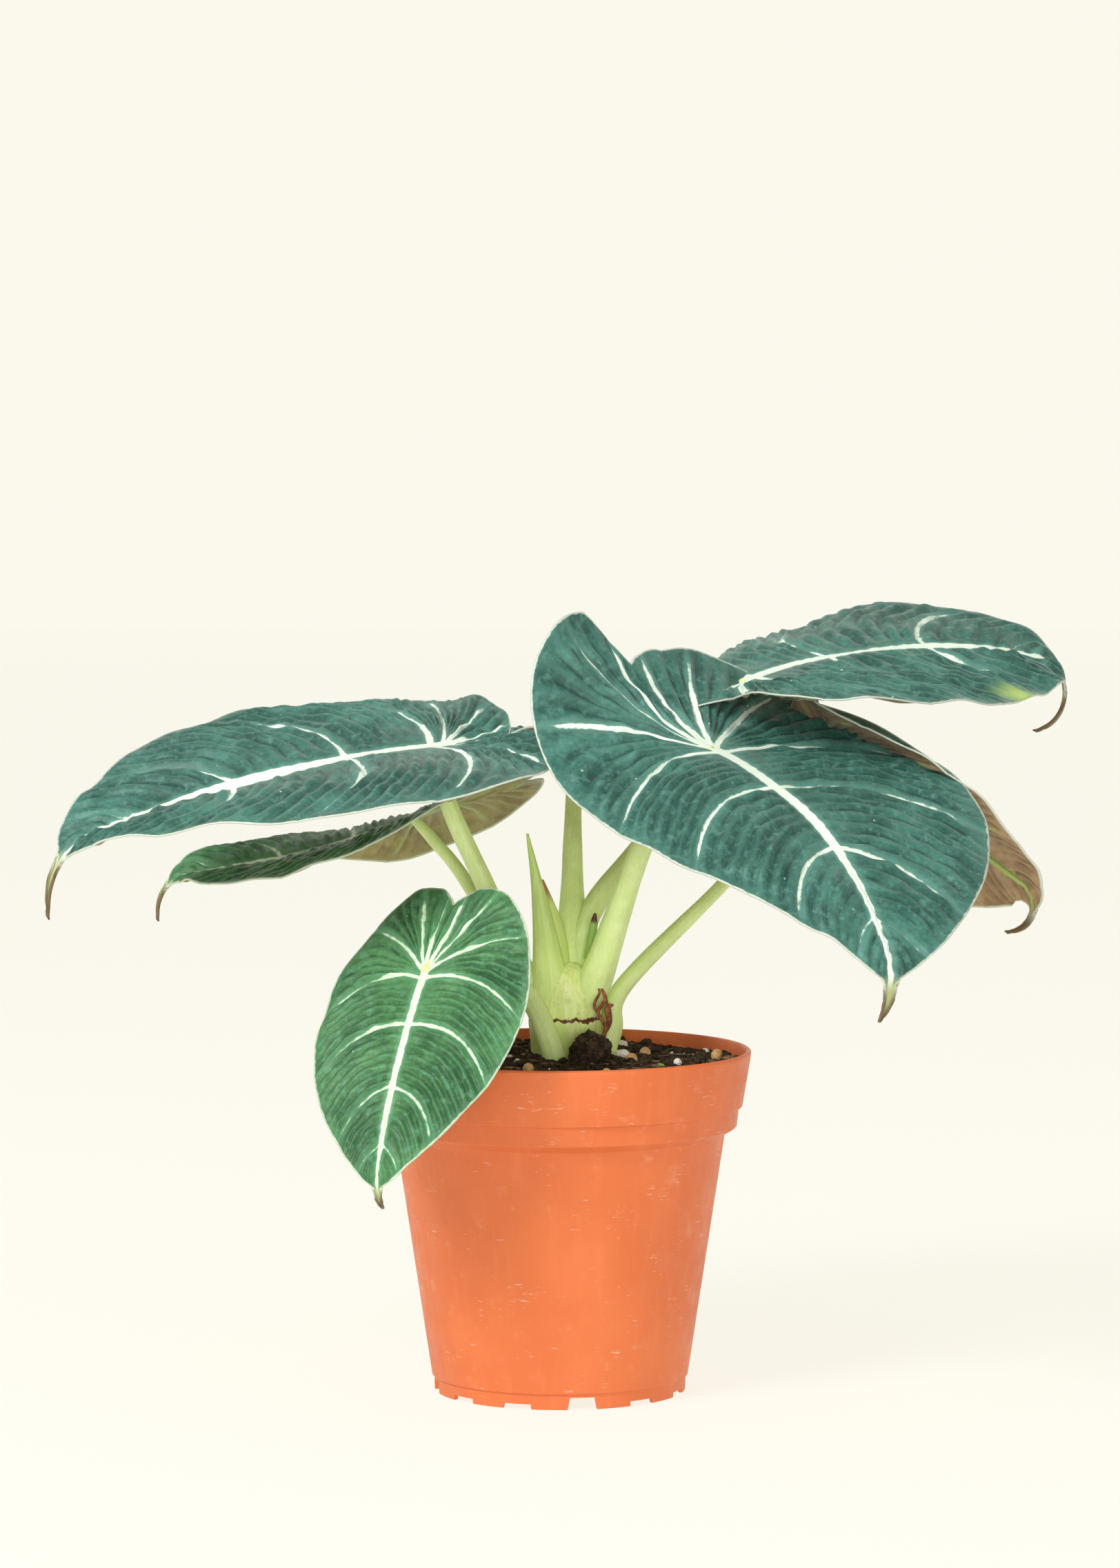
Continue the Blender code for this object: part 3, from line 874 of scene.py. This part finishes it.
def leaf_set() -> list[LeafBlade]:
    """List the plant's seven blades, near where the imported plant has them.

    Returns:
        The blades, each with the fields in LeafBlade's own order.
    """
    teal, green = LeafTint.TEAL, LeafTint.GREEN
    return [
        LeafBlade("left", (-32, 0, 177.5), 113, 201, -4, -18, -50, -70, -3,
                  10, 7, (10, 12), (-16, -26), (0.98, 1.00), (0.50, 0.50),
                  teal, 1.3),
        LeafBlade("lower_left", (-40.5, 20, 156), 72, 180, -20, 14, 10, -89,
                  -6, 4, 21, (15, 13), (-20, -68), (1.00, 1.12), (1.20, 1.20),
                  green, 4.1),
        LeafBlade("front", (-36, -50, 120), 63, 240, -54, -8, 15, -100, 17,
                  -4, 0, (0, 0), (-22, -14), (1.00, 0.94), (1.00, 1.00),
                  green, 2.7),
        LeafBlade("front_right", (41.5, -25, 178), 100, -43, -17, -34, -114,
                  -98, -28, 2, 7, (1, -3), (7, -38), (1.29, 0.99),
                  (0.90, 1.20), teal, 7.9),
        LeafBlade("back_right", (51.5, 20, 194.5), 120, 37, 15, -29, 0, -151,
                  -7, -2, -34, (6, 4), (-47, -16), (1.02, 0.88),
                  (1.00, 0.35),
                  teal, 9.2, nick=(1.0, 7.9)),
        LeafBlade("far_right", (74.5, 30, 172), 75.5, -22, -23, -15, 0, -135,
                  -2, 47, 5, (1, 2), (-33, -36), (1.05, 0.99), (0.35, 0.35),
                  teal, 11.4),
        LeafBlade("back", (4, 30, 172), 70, 97, 8, -12, -125, -40, 0, 0, 0,
                  (8, 8), (-15, -15), (1.00, 1.00), (1.00, 1.00), teal, 13.8),
    ]


@dataclass
class Plant:
    """The stem, its sheaths and bud, the petioles and the blades."""

    stem_axis: tuple[float, float] = (1.5, 0.0)
    stem_profile: tuple[tuple[float, float], ...] = (
        (6.0, 71.0), (8.4, 76.0), (9.0, 86.0), (9.4, 95.0), (10.0, 102.0),
        (9.8, 107.0), (8.4, 112.0), (5.6, 116.0), (2.4, 118.2))
    scar_height: float = 102.6
    petioles: dict[str, tuple] = field(default_factory=lambda: {
        "left": ((-1, 0, 92, 3.2), (-6.5, -1.5, 108, 3.0),
                 (-20.3, -2, 138.7, 2.6), (-31, -1, 163, 2.4)),
        "lower_left": ((0, 2, 92, 2.6), (-6, 3.5, 105, 2.4),
                       (-25.3, 12, 138, 1.8), (-35, 17, 150, 1.7)),
        "front": ((0, -4, 81, 3.3), (-2, -8.7, 94, 3.1), (-8.6, -15, 110, 2.7),
                  (-20, -29, 121, 2.3), (-30.5, -42, 124, 2.0)),
        "front_right": ((2, -1, 98, 5.0), (9.5, -4.5, 113, 4.6),
                        (15.5, -9, 131, 3.5), (22, -14, 150, 2.9),
                        (30, -19, 165, 2.4)),
        "back_right": ((3, 2, 104, 4.0), (8, 5, 130, 3.2),
                       (23.5, 12, 150.5, 2.6), (38, 17, 172, 2.3)),
        "far_right": ((8.4, 0.6, 81.5, 3.0), (13.6, 1.4, 98, 3.2),
                      (17.5, 3, 111, 2.5), (45.5, 14, 138.5, 1.8),
                      (62, 23, 156.5, 1.7)),
        "back": ((2.0, 2.5, 110, 5.6), (3.2, 5.5, 124, 4.4),
                 (3.4, 10, 138, 3.1), (3.5, 15, 150, 2.6),
                 (3.8, 23, 163, 2.1)),
    })
    sheaths: dict[str, tuple] = field(default_factory=lambda: {
        "spike": ((-2.2, -2.5, 108, 5.8), (-3.8, -4.0, 123, 3.7),
                  (-6.0, -5.4, 138, 1.8), (-8.9, -6, 153.5, 0.35)),
        "torn": ((-1.2, 0.2, 114, 4.6), (-2.4, 0.5, 127, 3.4),
                 (-5.0, 0.8, 140.4, 0.5)),
        "bud": ((8.0, -1.5, 119, 1.5), (9.2, -2.6, 128, 1.1),
                (9.6, -3.0, 131.5, 0.35)),
    })

    def build_stem(self) -> bpy.types.Object:
        """Make the stem of wrapped leaf bases, with its brown scar line.

        Returns:
            The stem piece.
        """
        bm, grid = wrapped_grid(120, 150)
        turn = (grid[:, 0] + 1) * math.pi
        row = (grid[:, 1] + 1) / 2
        profile = spline(np.array(self.stem_profile),
                         row * (len(self.stem_profile) - 1))
        radius, height = profile.T
        cap = 0.02
        radius = radius * np.clip(np.minimum(row, 1 - row) / cap, 0, 1) ** 0.5
        overlap = np.mod(turn * 1.5 + height * 0.035, math.pi) / math.pi
        radius = radius * (1 + 0.030 * overlap
                           + 0.006 * np.cos(23 * turn + height * 0.05))
        lump = np.array([noise.noise(Vector((math.cos(a) * 1.6,
                                             math.sin(a) * 1.6, h * 0.07)))
                         for a, h in zip(turn, height)])
        radius = radius * (1 + 0.035 * lump)
        radius -= 0.25 * np.exp(-((height - self.scar_height - lump) / 0.5)
                                ** 2)
        places = np.stack([self.stem_axis[0] + radius * np.cos(turn),
                           self.stem_axis[1] + radius * np.sin(turn),
                           height], -1)
        move_vertices(bm, places * MM)
        add_layers(bm, {"up": row,
                        "scar": height - self.scar_height - lump})
        bmesh.ops.remove_doubles(bm, verts=bm.verts, dist=0.003 * MM)
        bmesh.ops.recalc_face_normals(bm, faces=bm.faces)
        shader = Shader("stem_tissue", 0.45)
        shader.set(Specular_IOR_Level=0.4, Subsurface_Weight=0.12,
                   Subsurface_Scale=0.002, Subsurface_Radius=(0.8, 1.0, 0.4))
        streaks = shader.noise(1.3, 4.0, 0.6, (1.4, 1.4, 0.12))
        colour = shader.mix(shader.step(streaks, 0.35, 0.7),
                            (0.70, 0.86, 0.26), (0.90, 0.98, 0.48))
        scar = shader.attribute("scar")
        colour = shader.mix(shader.step(scar, -7.0, 2.0, 0.75, 0.0), colour,
                            (0.34, 0.44, 0.09))
        blotch = shader.step(shader.noise(5.0, 4.0, 0.7), 0.5, 0.75, 0.0, 0.5)
        colour = shader.mix(blotch, colour, (0.46, 0.58, 0.16))
        freckle = shader.step(shader.noise(0.9, 2.0), 0.68, 0.76, 0.0, 0.6)
        colour = shader.mix(freckle, colour, (0.14, 0.10, 0.03))
        ragged = shader.math("ADD", scar, shader.step(
            shader.noise(1.5, 3.0), 0.2, 0.8, -0.7, 0.7))
        band = shader.math("MULTIPLY", shader.step(ragged, -0.75, -0.35),
                           shader.step(ragged, 0.3, 0.65, 1.0, 0.0))
        colour = shader.mix(band, colour, (0.13, 0.035, 0.010))
        piece = finish_piece("stem", mesh_of(bm, "stem"),
                             [shader.done(colour, shader.bump(streaks, 0.15))])
        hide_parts("alocasia_plant")
        return piece

    def build_fibres(self) -> None:
        """Make the dry brown threads of an old sheath beside the stem."""
        shader = Shader("dry_fibre", 0.8)
        tone = shader.step(shader.noise(1.2, 3.0), 0.35, 0.7)
        material = shader.done(shader.mix(tone, (0.16, 0.045, 0.015),
                                          (0.36, 0.15, 0.05)))
        threads = (
            ((11.8, -7.0, 96.5, 0.35), (12.4, -8.2, 101, 0.5),
             (10.4, -9.3, 105, 0.45), (12.4, -8.8, 108.5, 0.5),
             (11.0, -8.2, 112.0, 0.25)),
            ((11.8, -6.8, 98, 0.4), (13.4, -7.4, 102, 0.7),
             (13.0, -8.4, 106, 0.9), (14.6, -7.4, 106.8, 0.25)),
            ((11.0, -7.6, 94, 0.25), (12.2, -7.2, 100, 0.35),
             (13.6, -7.6, 103.2, 0.5), (12.4, -8.6, 109.5, 0.2)),
            ((10.6, -8.0, 104, 0.3), (9.4, -9.2, 107, 0.35),
             (10.8, -8.6, 110.4, 0.3), (9.6, -8.8, 112.6, 0.15)),
        )
        for number, points in enumerate(threads, 1):
            Stalk("dry_fibre_%d" % number, points, rows=40, around=10,
                  rib=0.2).build(material)

    def build(self) -> None:
        """Make every piece of the plant."""
        petiole = StalkFinish("petiole_tissue", (0.74, 0.92, 0.33),
                              (0.70, 0.88, 0.36), (0.90, 0.98, 0.60)).make()
        sheath = StalkFinish("sheath_tissue", (0.70, 0.88, 0.28),
                             (0.50, 0.70, 0.20), (0.84, 0.94, 0.46)).make()
        shader = Shader("withered_tip", 0.7)
        up = shader.attribute("up")
        colour = shader.mix(shader.step(up, 0.72, 0.9), (0.70, 0.86, 0.28),
                            (0.42, 0.22, 0.10))
        torn = shader.done(colour)
        shader = Shader("bud_scale", 0.45)
        up = shader.attribute("up")
        colour = shader.mix(shader.step(up, 0.75, 0.86), (0.36, 0.56, 0.14),
                            (0.10, 0.03, 0.012))
        bud = shader.done(colour)
        self.build_stem()
        for name, points in self.sheaths.items():
            finish = {"spike": sheath, "torn": torn, "bud": bud}[name]
            Stalk(name, points, rib=0.03).build(finish)
        for blade in leaf_set():
            blade.build()
            _, _, normal = blade.frames()
            under = np.array(blade.joint) - 0.5 * np.array(
                [np.interp(0, blade.STATIONS, normal[:, k])
                 for k in range(3)])
            points = self.petioles[blade.name]
            end = (*under, points[-1][3] * 0.75)
            Stalk("petiole_" + blade.name, (*points, end),
                  rows=110).build(petiole)
        self.build_fibres()


# ---------------------------------------------------------------------------
# Soil
# ---------------------------------------------------------------------------
@dataclass
class PottingSoil:
    """Crumbly peat mix with a clod, bark, fibres, perlite and prills."""

    level: float = 90.3
    heap: float = 3.2
    roughness: float = 1.1
    edge_radius: float = 49.85
    floor: float = 5.4
    clod: tuple[float, ...] = (8.5, -15.5, 94.5, 5.8, 4.6, 5.6)
    seed: int = 11

    def height(self, x: float, y: float) -> float:
        """Read the packed soil's broad surface height, in millimetres."""
        heap = self.heap * max(0.0, 1.0 - math.hypot(x, y) / 40.0) ** 1.4
        lumps = noise.noise(Vector((x * 0.13, y * 0.13, 3.7)))
        crumbs = noise.noise(Vector((x * 0.31, y * 0.31, 8.1)))
        return self.level + heap + self.roughness * (lumps + 0.6 * crumbs)

    def crumb(self, point: Vector) -> float:
        """Read the fine crumb relief at a point, in millimetres."""
        coarse = noise.noise(point * 0.55)
        middle = abs(noise.noise(point * 1.1)) * 1.6 - 0.3
        fine = noise.noise(point * 2.6)
        return 0.75 * coarse + 0.65 * middle + 0.30 * fine

    def finish(self) -> bpy.types.Material:
        """Make the damp dark mix, with brown and tan flecks."""
        shader = Shader("potting_mix", 0.92)
        shader.set(Specular_IOR_Level=0.25)
        base = shader.mix(shader.step(shader.noise(2.2, 5.0, 0.7), 0.35, 0.7),
                          (0.016, 0.011, 0.007), (0.085, 0.052, 0.028))
        fleck = shader.step(shader.noise(0.9, 3.0, 0.6), 0.60, 0.70)
        colour = shader.mix(fleck, base, (0.19, 0.115, 0.055))
        moss = shader.step(shader.noise(3.4, 3.0), 0.64, 0.74, 0.0, 0.45)
        colour = shader.mix(moss, colour, (0.14, 0.15, 0.03))
        relief = shader.bump(shader.noise(0.6, 5.0, 0.7), 0.35)
        return shader.done(colour, relief)

    def build_body(self, material: bpy.types.Material) -> None:
        """Make the soil that fills the pot.

        Args:
            material: The soil's finish.
        """
        bm, grid = wrapped_grid(300, 130)
        turn = (grid[:, 0] + 1) * math.pi
        row = (grid[:, 1] + 1) / 2
        wall = np.array([(0.0, self.level), (0.46, self.level),
                         (0.84, self.level), (0.86, self.level - 1.2),
                         (0.92, 70.0), (0.97, self.floor), (1.0, self.floor)])
        radius = np.interp(row, (0.0, 0.84, 0.86, 0.92, 0.97, 1.0),
                           (0.0, self.edge_radius, self.edge_radius - 0.4,
                            43.5, 34.0, 0.0))
        height = np.interp(row, wall[:, 0], wall[:, 1])
        places = np.stack([radius * np.cos(turn), radius * np.sin(turn),
                           height], -1)
        for place, step in zip(places, row):
            if step <= 0.84:
                x, y, _ = place
                fade = 1.0 - 0.65 * float(
                    smoothstep(47.5, 49.8, np.hypot(x, y)))
                rise = self.height(x, y) - self.level
                fine = self.crumb(Vector((x, y, 1.7)))
                place[2] = self.level + fade * rise + 0.9 * fade * fine
        move_vertices(bm, places * MM)
        bmesh.ops.remove_doubles(bm, verts=bm.verts, dist=0.002 * MM)
        bmesh.ops.recalc_face_normals(bm, faces=bm.faces)
        piece = finish_piece("soil", mesh_of(bm, "soil"),
                             [material])
        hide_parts("potting_soil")

    def build_clod(self, material: bpy.types.Material) -> None:
        """Make the lump of root-bound mix in front of the stem.

        Args:
            material: The soil's finish.
        """
        bm = bmesh.new()
        bmesh.ops.create_icosphere(bm, subdivisions=6, radius=1.0)
        centre, half = Vector(self.clod[:3]), self.clod[3:]
        for vert in bm.verts:
            broad = noise.noise(vert.co * 1.7 + centre)
            point = Vector([c * h for c, h in zip(vert.co, half)])
            push = self.crumb(point * 1.25 + centre) * 0.75
            vert.co = (centre + point * (1 + 0.16 * broad)
                       + vert.co * push) * MM
        piece = finish_piece("soil_clod", mesh_of(bm, "soil_clod"),
                             [material])
        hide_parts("potting_soil")

    def scatter(self, name: str, count: int, sizes: tuple[float, float],
                squash: tuple[float, float, float], detail: int,
                material: bpy.types.Material, rng: np.random.Generator,
                ) -> None:
        """Strew many small lumpy bits over the soil as one piece.

        Args:
            name: The piece's name.
            count: How many bits.
            sizes: Smallest and largest size, in millimetres.
            squash: Size factors along each bit's own axes.
            detail: Icosphere subdivisions of a bit.
            material: The bits' finish.
            rng: Seeded source of places and turns.
        """
        bm = bmesh.new()
        for number in range(count):
            radius = 48.5 * math.sqrt(rng.uniform(0.045, 1.0))
            angle = rng.uniform(0, 2 * math.pi)
            size = sizes[0] + (sizes[1] - sizes[0]) * rng.uniform() ** 2.2
            x, y = radius * math.cos(angle), radius * math.sin(angle)
            ball = bmesh.ops.create_icosphere(bm, subdivisions=detail,
                                              radius=size / 2)
            turn = Matrix.Rotation(rng.uniform(0, 6.28), 4, "Z") \
                @ Matrix.Rotation(rng.uniform(-0.5, 0.5), 4, "X")
            z = self.height(x, y) + 0.1 * size + rng.uniform(0, 0.4)
            for vert in ball["verts"]:
                push = noise.noise(vert.co * (2.2 / size)
                                   + Vector((number, 0, 0)))
                stretched = Vector([c * s * (1 + 0.55 * push)
                                    for c, s in zip(vert.co, squash)])
                vert.co = (turn @ stretched + Vector((x, y, z))) * MM
        piece = finish_piece(name, mesh_of(bm, name),
                             [material])
        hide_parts("potting_soil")

    def build_litter(self, material: bpy.types.Material) -> None:
        """Strew crumbs, bark, fibres and green bits over the soil.

        Args:
            material: The soil's finish.
        """
        rng = np.random.default_rng(self.seed)
        self.scatter("soil_crumbs", 900, (0.7, 3.2), (1.0, 0.8, 0.7), 2,
                     material, rng)
        shader = Shader("bark_chip", 0.8)
        tone = shader.step(shader.noise(1.6, 4.0), 0.35, 0.7)
        bark = shader.done(shader.mix(tone, (0.10, 0.045, 0.02),
                                      (0.30, 0.17, 0.075)),
                           shader.bump(shader.noise(0.5, 4.0), 0.2))
        self.scatter("bark_chips", 70, (1.6, 4.6), (1.5, 0.5, 0.25), 2, bark,
                     rng)
        self.scatter("peat_fibres", 110, (2.0, 6.5), (1.3, 0.09, 0.08), 2,
                     bark, rng)
        shader = Shader("perlite_crumb", 0.9)
        white = shader.done((0.72, 0.70, 0.64))
        self.scatter("perlite_crumbs", 46, (0.6, 1.9), (1.0, 0.9, 0.8), 2,
                     white, rng)
        shader = Shader("moss_bit", 0.7)
        green = shader.done((0.22, 0.36, 0.07))
        self.scatter("green_bits", 16, (1.0, 2.6), (1.2, 0.7, 0.4), 2, green,
                     rng)

    def build_grains(self) -> None:
        """Make the large perlite grains and the fertiliser prills."""
        shader = Shader("perlite_grain", 0.9)
        shader.set(Specular_IOR_Level=0.2)
        # The pore spots are painted darker: painted shade in the grain's
        # holes.
        pore_shade = shader.step(shader.cells(0.55), 0.1, 0.4, 0.72, 1.0)
        perlite = shader.done(
            shader.mix(pore_shade, (0.45, 0.43, 0.37), (0.84, 0.82, 0.76)),
            shader.bump(shader.noise(0.4, 4.0, 0.6), 0.2))
        shader = Shader("prill_coat", 0.38)
        tone = shader.step(shader.noise(2.2, 3.0), 0.35, 0.7)
        prill = shader.done(
            shader.mix(tone, (0.52, 0.27, 0.09), (0.76, 0.52, 0.24)),
            shader.bump(shader.noise(0.7, 2.0), 0.06))
        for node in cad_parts:
            if not node.startswith(("perlite_", "fertiliser_prill_")):
                continue
            low, high = (Vector(corner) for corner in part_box(node))
            is_perlite = node.startswith("perlite_")
            bm = bmesh.new()
            bmesh.ops.create_icosphere(bm, subdivisions=4, radius=1.0)
            centre, half = (low + high) / 2, (high - low) / 2
            for vert in bm.verts:
                point = vert.co.copy()
                if is_perlite:
                    push = (0.18 * noise.noise(point * 1.6 + centre * 900)
                            + 0.08 * noise.noise(point * 5.0))
                else:
                    push = 0.04 * noise.noise(point * 2.0 + centre * 900)
                vert.co = centre + Vector([c * h * (0.98 + push) for c, h
                                           in zip(point, half)])
            name = "fine_" + node
            piece = finish_piece(name, mesh_of(bm, name),
                                 [perlite if is_perlite else prill])
            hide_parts(node)

    def build(self) -> None:
        """Make the soil and everything that lies on it."""
        material = self.finish()
        self.build_body(material)
        self.build_clod(material)
        self.build_litter(material)
        self.build_grains()


# ---------------------------------------------------------------------------
# Pot
# ---------------------------------------------------------------------------
@dataclass
class NurseryPot:
    """The thin moulded pot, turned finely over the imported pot's profile."""

    wall: float = 1.1
    notch_count: int = 12
    notch_turn: float = 10.2
    turns: int = 192

    def outline(self) -> list[tuple[float, float, float]]:
        """List the wall's section as (radius, height, corner rounding)."""
        return [
            (0.0, 0.0, 0), (6.0, 0.0, 0.2), (6.5, 3.5, 0.3),
            (33.1, 3.5, 0.3), (33.2, 0.0, 0.2), (34.5, 0.0, 0.3),
            (34.6, 4.1, 0.1), (35.2, 4.3, 0.2), (45.3, 71.0, 0.5),
            (48.2, 72.8, 0.3), (48.6, 73.1, 0.25), (49.1, 78.2, 0.2),
            (50.1, 78.5, 0.3), (52.4, 92.4, 0.3), (52.5, 93.4, 0.4),
            (51.9, 94.0, 0.3), (51.2, 93.7, 0.3), (50.9, 92.4, 0.3),
            (50.1 - self.wall, 79.1, 0.4), (49.1 - self.wall, 78.1, 0.4),
            (48.6 - self.wall, 72.5, 0.4), (45.3 - self.wall, 70.7, 0.4),
            (34.44, 6.2, 0.5), (33.4, 5.0, 0.3), (0.0, 5.0, 0)]

    def rounded(self) -> list[tuple[float, float]]:
        """Round the section's corners with short arcs.

        Returns:
            Points (radius, height) along the rounded section.
        """
        corners = self.outline()
        points = [corners[0][:2]]
        for before, here, after in zip(corners, corners[1:], corners[2:]):
            place = np.array(here[:2])
            legs = [np.array(other[:2]) - place for other in (before, after)]
            lengths = [np.linalg.norm(leg) for leg in legs]
            cut = min(here[2], 0.45 * min(lengths))
            ends = [place + leg / size * cut
                    for leg, size in zip(legs, lengths)]
            for t in np.linspace(0, 1, 5):
                bend = ((1 - t) ** 2 * ends[0] + 2 * t * (1 - t) * place
                        + t * t * ends[1])
                points.append(tuple(bend))
        points.append(corners[-1][:2])
        return points

    def finish(self) -> bpy.types.Material:
        """Make the terracotta-coloured plastic, scuffed and dusty."""
        shader = Shader("terracotta_plastic", 0.45)
        shader.set(Specular_IOR_Level=0.45)
        shade = shader.step(shader.noise(26.0, 3.0), 0.35, 0.7)
        colour = shader.mix(shade, (0.69, 0.150, 0.038), (0.75, 0.174, 0.048))
        drawn = shader.noise(3.0, 3.0, 0.6, (1.0, 1.0, 0.06))
        colour = shader.mix(shader.step(drawn, 0.50, 0.80, 0.0, 0.20), colour,
                            (0.88, 0.25, 0.09))
        dust = shader.step(shader.noise(7.0, 6.0, 0.7), 0.56, 0.78, 0.0, 0.45)
        colour = shader.mix(dust, colour, (0.83, 0.36, 0.20))
        scratch = shader.noise(1.1, 4.0, 0.7, (0.25, 0.25, 2.2))
        where = shader.step(shader.noise(9.0, 2.0), 0.52, 0.66)
        mark = shader.math("MULTIPLY", where,
                           shader.step(scratch, 0.60, 0.68, 0.0, 0.75))
        colour = shader.mix(mark, colour, (0.88, 0.60, 0.46))
        rough = shader.step(shader.noise(5.0, 4.0), 0.3, 0.7, 0.40, 0.55)
        relief = shader.bump(shader.noise(9.0, 3.0), 0.05)
        return shader.done(colour, relief, rough)

    def notch(self, index: int) -> bpy.types.Object:
        """Make a block that opens one notch in the foot ring.

        Args:
            index: Which notch, counted round the foot.

        Returns:
            The cutting block.
        """
        tall = 3.3 if index % 3 == 0 else 1.4
        bm = bmesh.new()
        bmesh.ops.create_cube(bm, size=1.0)
        for vert in bm.verts:
            top = vert.co.z > 0
            width = 8.5 - (1.6 * tall / 3.3 if top else 0)
            vert.co = ((34.4 + vert.co.x * 5.0) * MM, vert.co.y * width * MM,
                       (tall if top else -1.0) * MM)
        if index % 3 == 0:
            slot = bmesh.ops.create_cube(bm, size=1.0)
            for vert in slot["verts"]:
                vert.co = ((27.5 + vert.co.x * 4.0) * MM,
                           vert.co.y * 7.0 * MM, (5.0 + vert.co.z * 6.0) * MM)
        turn = math.radians(-90 + self.notch_turn
                            + index * 360 / self.notch_count)
        bm.transform(Matrix.Rotation(turn, 4, "Z"))
        return bpy.data.objects.new("notch", mesh_of(bm, "notch"))

    def build(self) -> None:
        """Make the pot."""
        bm = bmesh.new()
        points = [bm.verts.new((r * MM, 0.0, z * MM))
                  for r, z in self.rounded()]
        edges = [bm.edges.new(pair) for pair in zip(points, points[1:])]
        bmesh.ops.spin(bm, geom=points + edges, cent=(0, 0, 0),
                       axis=(0, 0, 1), angle=2 * math.pi, steps=self.turns,
                       use_merge=True, use_duplicate=False)
        bmesh.ops.remove_doubles(bm, verts=bm.verts, dist=0.002 * MM)
        bmesh.ops.recalc_face_normals(bm, faces=bm.faces)
        piece = finish_piece("plastic_pot", mesh_of(bm, "plastic_pot"),
                             [self.finish()])
        cutters = [self.notch(index) for index in range(self.notch_count)]
        for cutter in cutters:
            bpy.context.scene.collection.objects.link(cutter)
            cut = piece.modifiers.new("Notch", "BOOLEAN")
            cut.operation = "DIFFERENCE"
            cut.object = cutter
        bake_modifiers(piece)
        piece.data.shade_smooth()
        piece.data.set_sharp_from_angle(angle=math.radians(35))
        for cutter in cutters:
            bpy.data.objects.remove(cutter, do_unlink=True)
        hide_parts("pot")


# ---------------------------------------------------------------------------
# Studio
# ---------------------------------------------------------------------------
@dataclass
class Studio:
    """A pale floor and wall of one paint, soft lights and the camera.

    The floor glows by itself, so that it stays even and pale; only its matt
    share takes shadows. It turns up into a wall behind the plant.
    """

    cream: Colour = (0.965, 0.947, 0.84)
    matt: float = 0.14
    glow: float = 0.885
    room: float = 0.55
    camera_distance: float = 1.450
    camera_height: float = 0.2605
    camera_dip: float = 3.70
    lens: float = 121.9

    def build(self) -> None:
        """Make the floor, the world, the lights and the camera."""
        bm = bmesh.new()
        bmesh.ops.create_grid(bm, x_segments=2, y_segments=2, size=6.0)
        edges = [edge for edge in bm.edges
                 if all(vert.co.y > 5.9 for vert in edge.verts)]
        wall = bmesh.ops.extrude_edge_only(bm, edges=edges)["geom"]
        for vert in wall:
            if isinstance(vert, bmesh.types.BMVert):
                vert.co.z = 5.0
        floor = bpy.data.objects.new("floor", mesh_of(bm, "floor"))
        bpy.context.scene.collection.objects.link(floor)
        shader = Shader("floor_paint", 1.0)
        shader.set(Specular_IOR_Level=0.0, Emission_Strength=self.glow,
                   Emission_Color=(*self.cream, 1.0))
        floor.data.materials.append(shader.done(
            (self.matt, self.matt, self.matt * 1.02)))

        world = bpy.data.worlds.new("soft_room")
        world.use_nodes = True
        backdrop = world.node_tree.nodes["Background"]
        backdrop.inputs["Color"].default_value = (*self.cream, 1.0)
        backdrop.inputs["Strength"].default_value = self.room
        bpy.context.scene.world = world
        self.softbox("key_light", (-0.9, -1.1, 1.3), 0.7, 26.0)
        self.softbox("fill_light", (1.2, -1.0, 0.7), 1.2, 2.0)
        self.softbox("front_light", (0.2, -1.7, 0.18), 0.9, 13.0)

        camera = bpy.data.objects.new("camera", bpy.data.cameras.new("camera"))
        camera.location = (0.0, -self.camera_distance, self.camera_height)
        camera.rotation_euler = (math.radians(90 - self.camera_dip), 0, 0)
        camera.data.lens = self.lens
        camera.data.clip_start = 0.01
        bpy.context.scene.collection.objects.link(camera)
        bpy.context.scene.camera = camera
        bpy.context.scene.view_settings.view_transform = "Standard"

    def softbox(self, name: str, place: Point, size: float,
                power: float) -> None:
        """Add a square soft light aimed at the plant.

        Args:
            name: The light's name.
            place: Where it stands, in metres.
            size: Its side, in metres.
            power: Its power in watts.
        """
        lamp = bpy.data.lights.new(name, "AREA")
        lamp.size = size
        lamp.energy = power
        light = bpy.data.objects.new(name, lamp)
        light.location = place
        aim = Vector((0.0, 0.0, 0.13)) - Vector(place)
        light.rotation_euler = aim.to_track_quat("-Z", "Y").to_euler()
        bpy.context.scene.collection.objects.link(light)


MATERIALS = {tint: (finish.top(), finish.under())
             for tint, finish in FINISHES.items()}


def main() -> None:
    """Build the studio, the pot, the soil and the plant."""
    logging.basicConfig(level=logging.INFO, format="%(message)s")
    Studio().build()
    NurseryPot().build()
    PottingSoil().build()
    Plant().build()


if __name__ == "__main__":
    main()
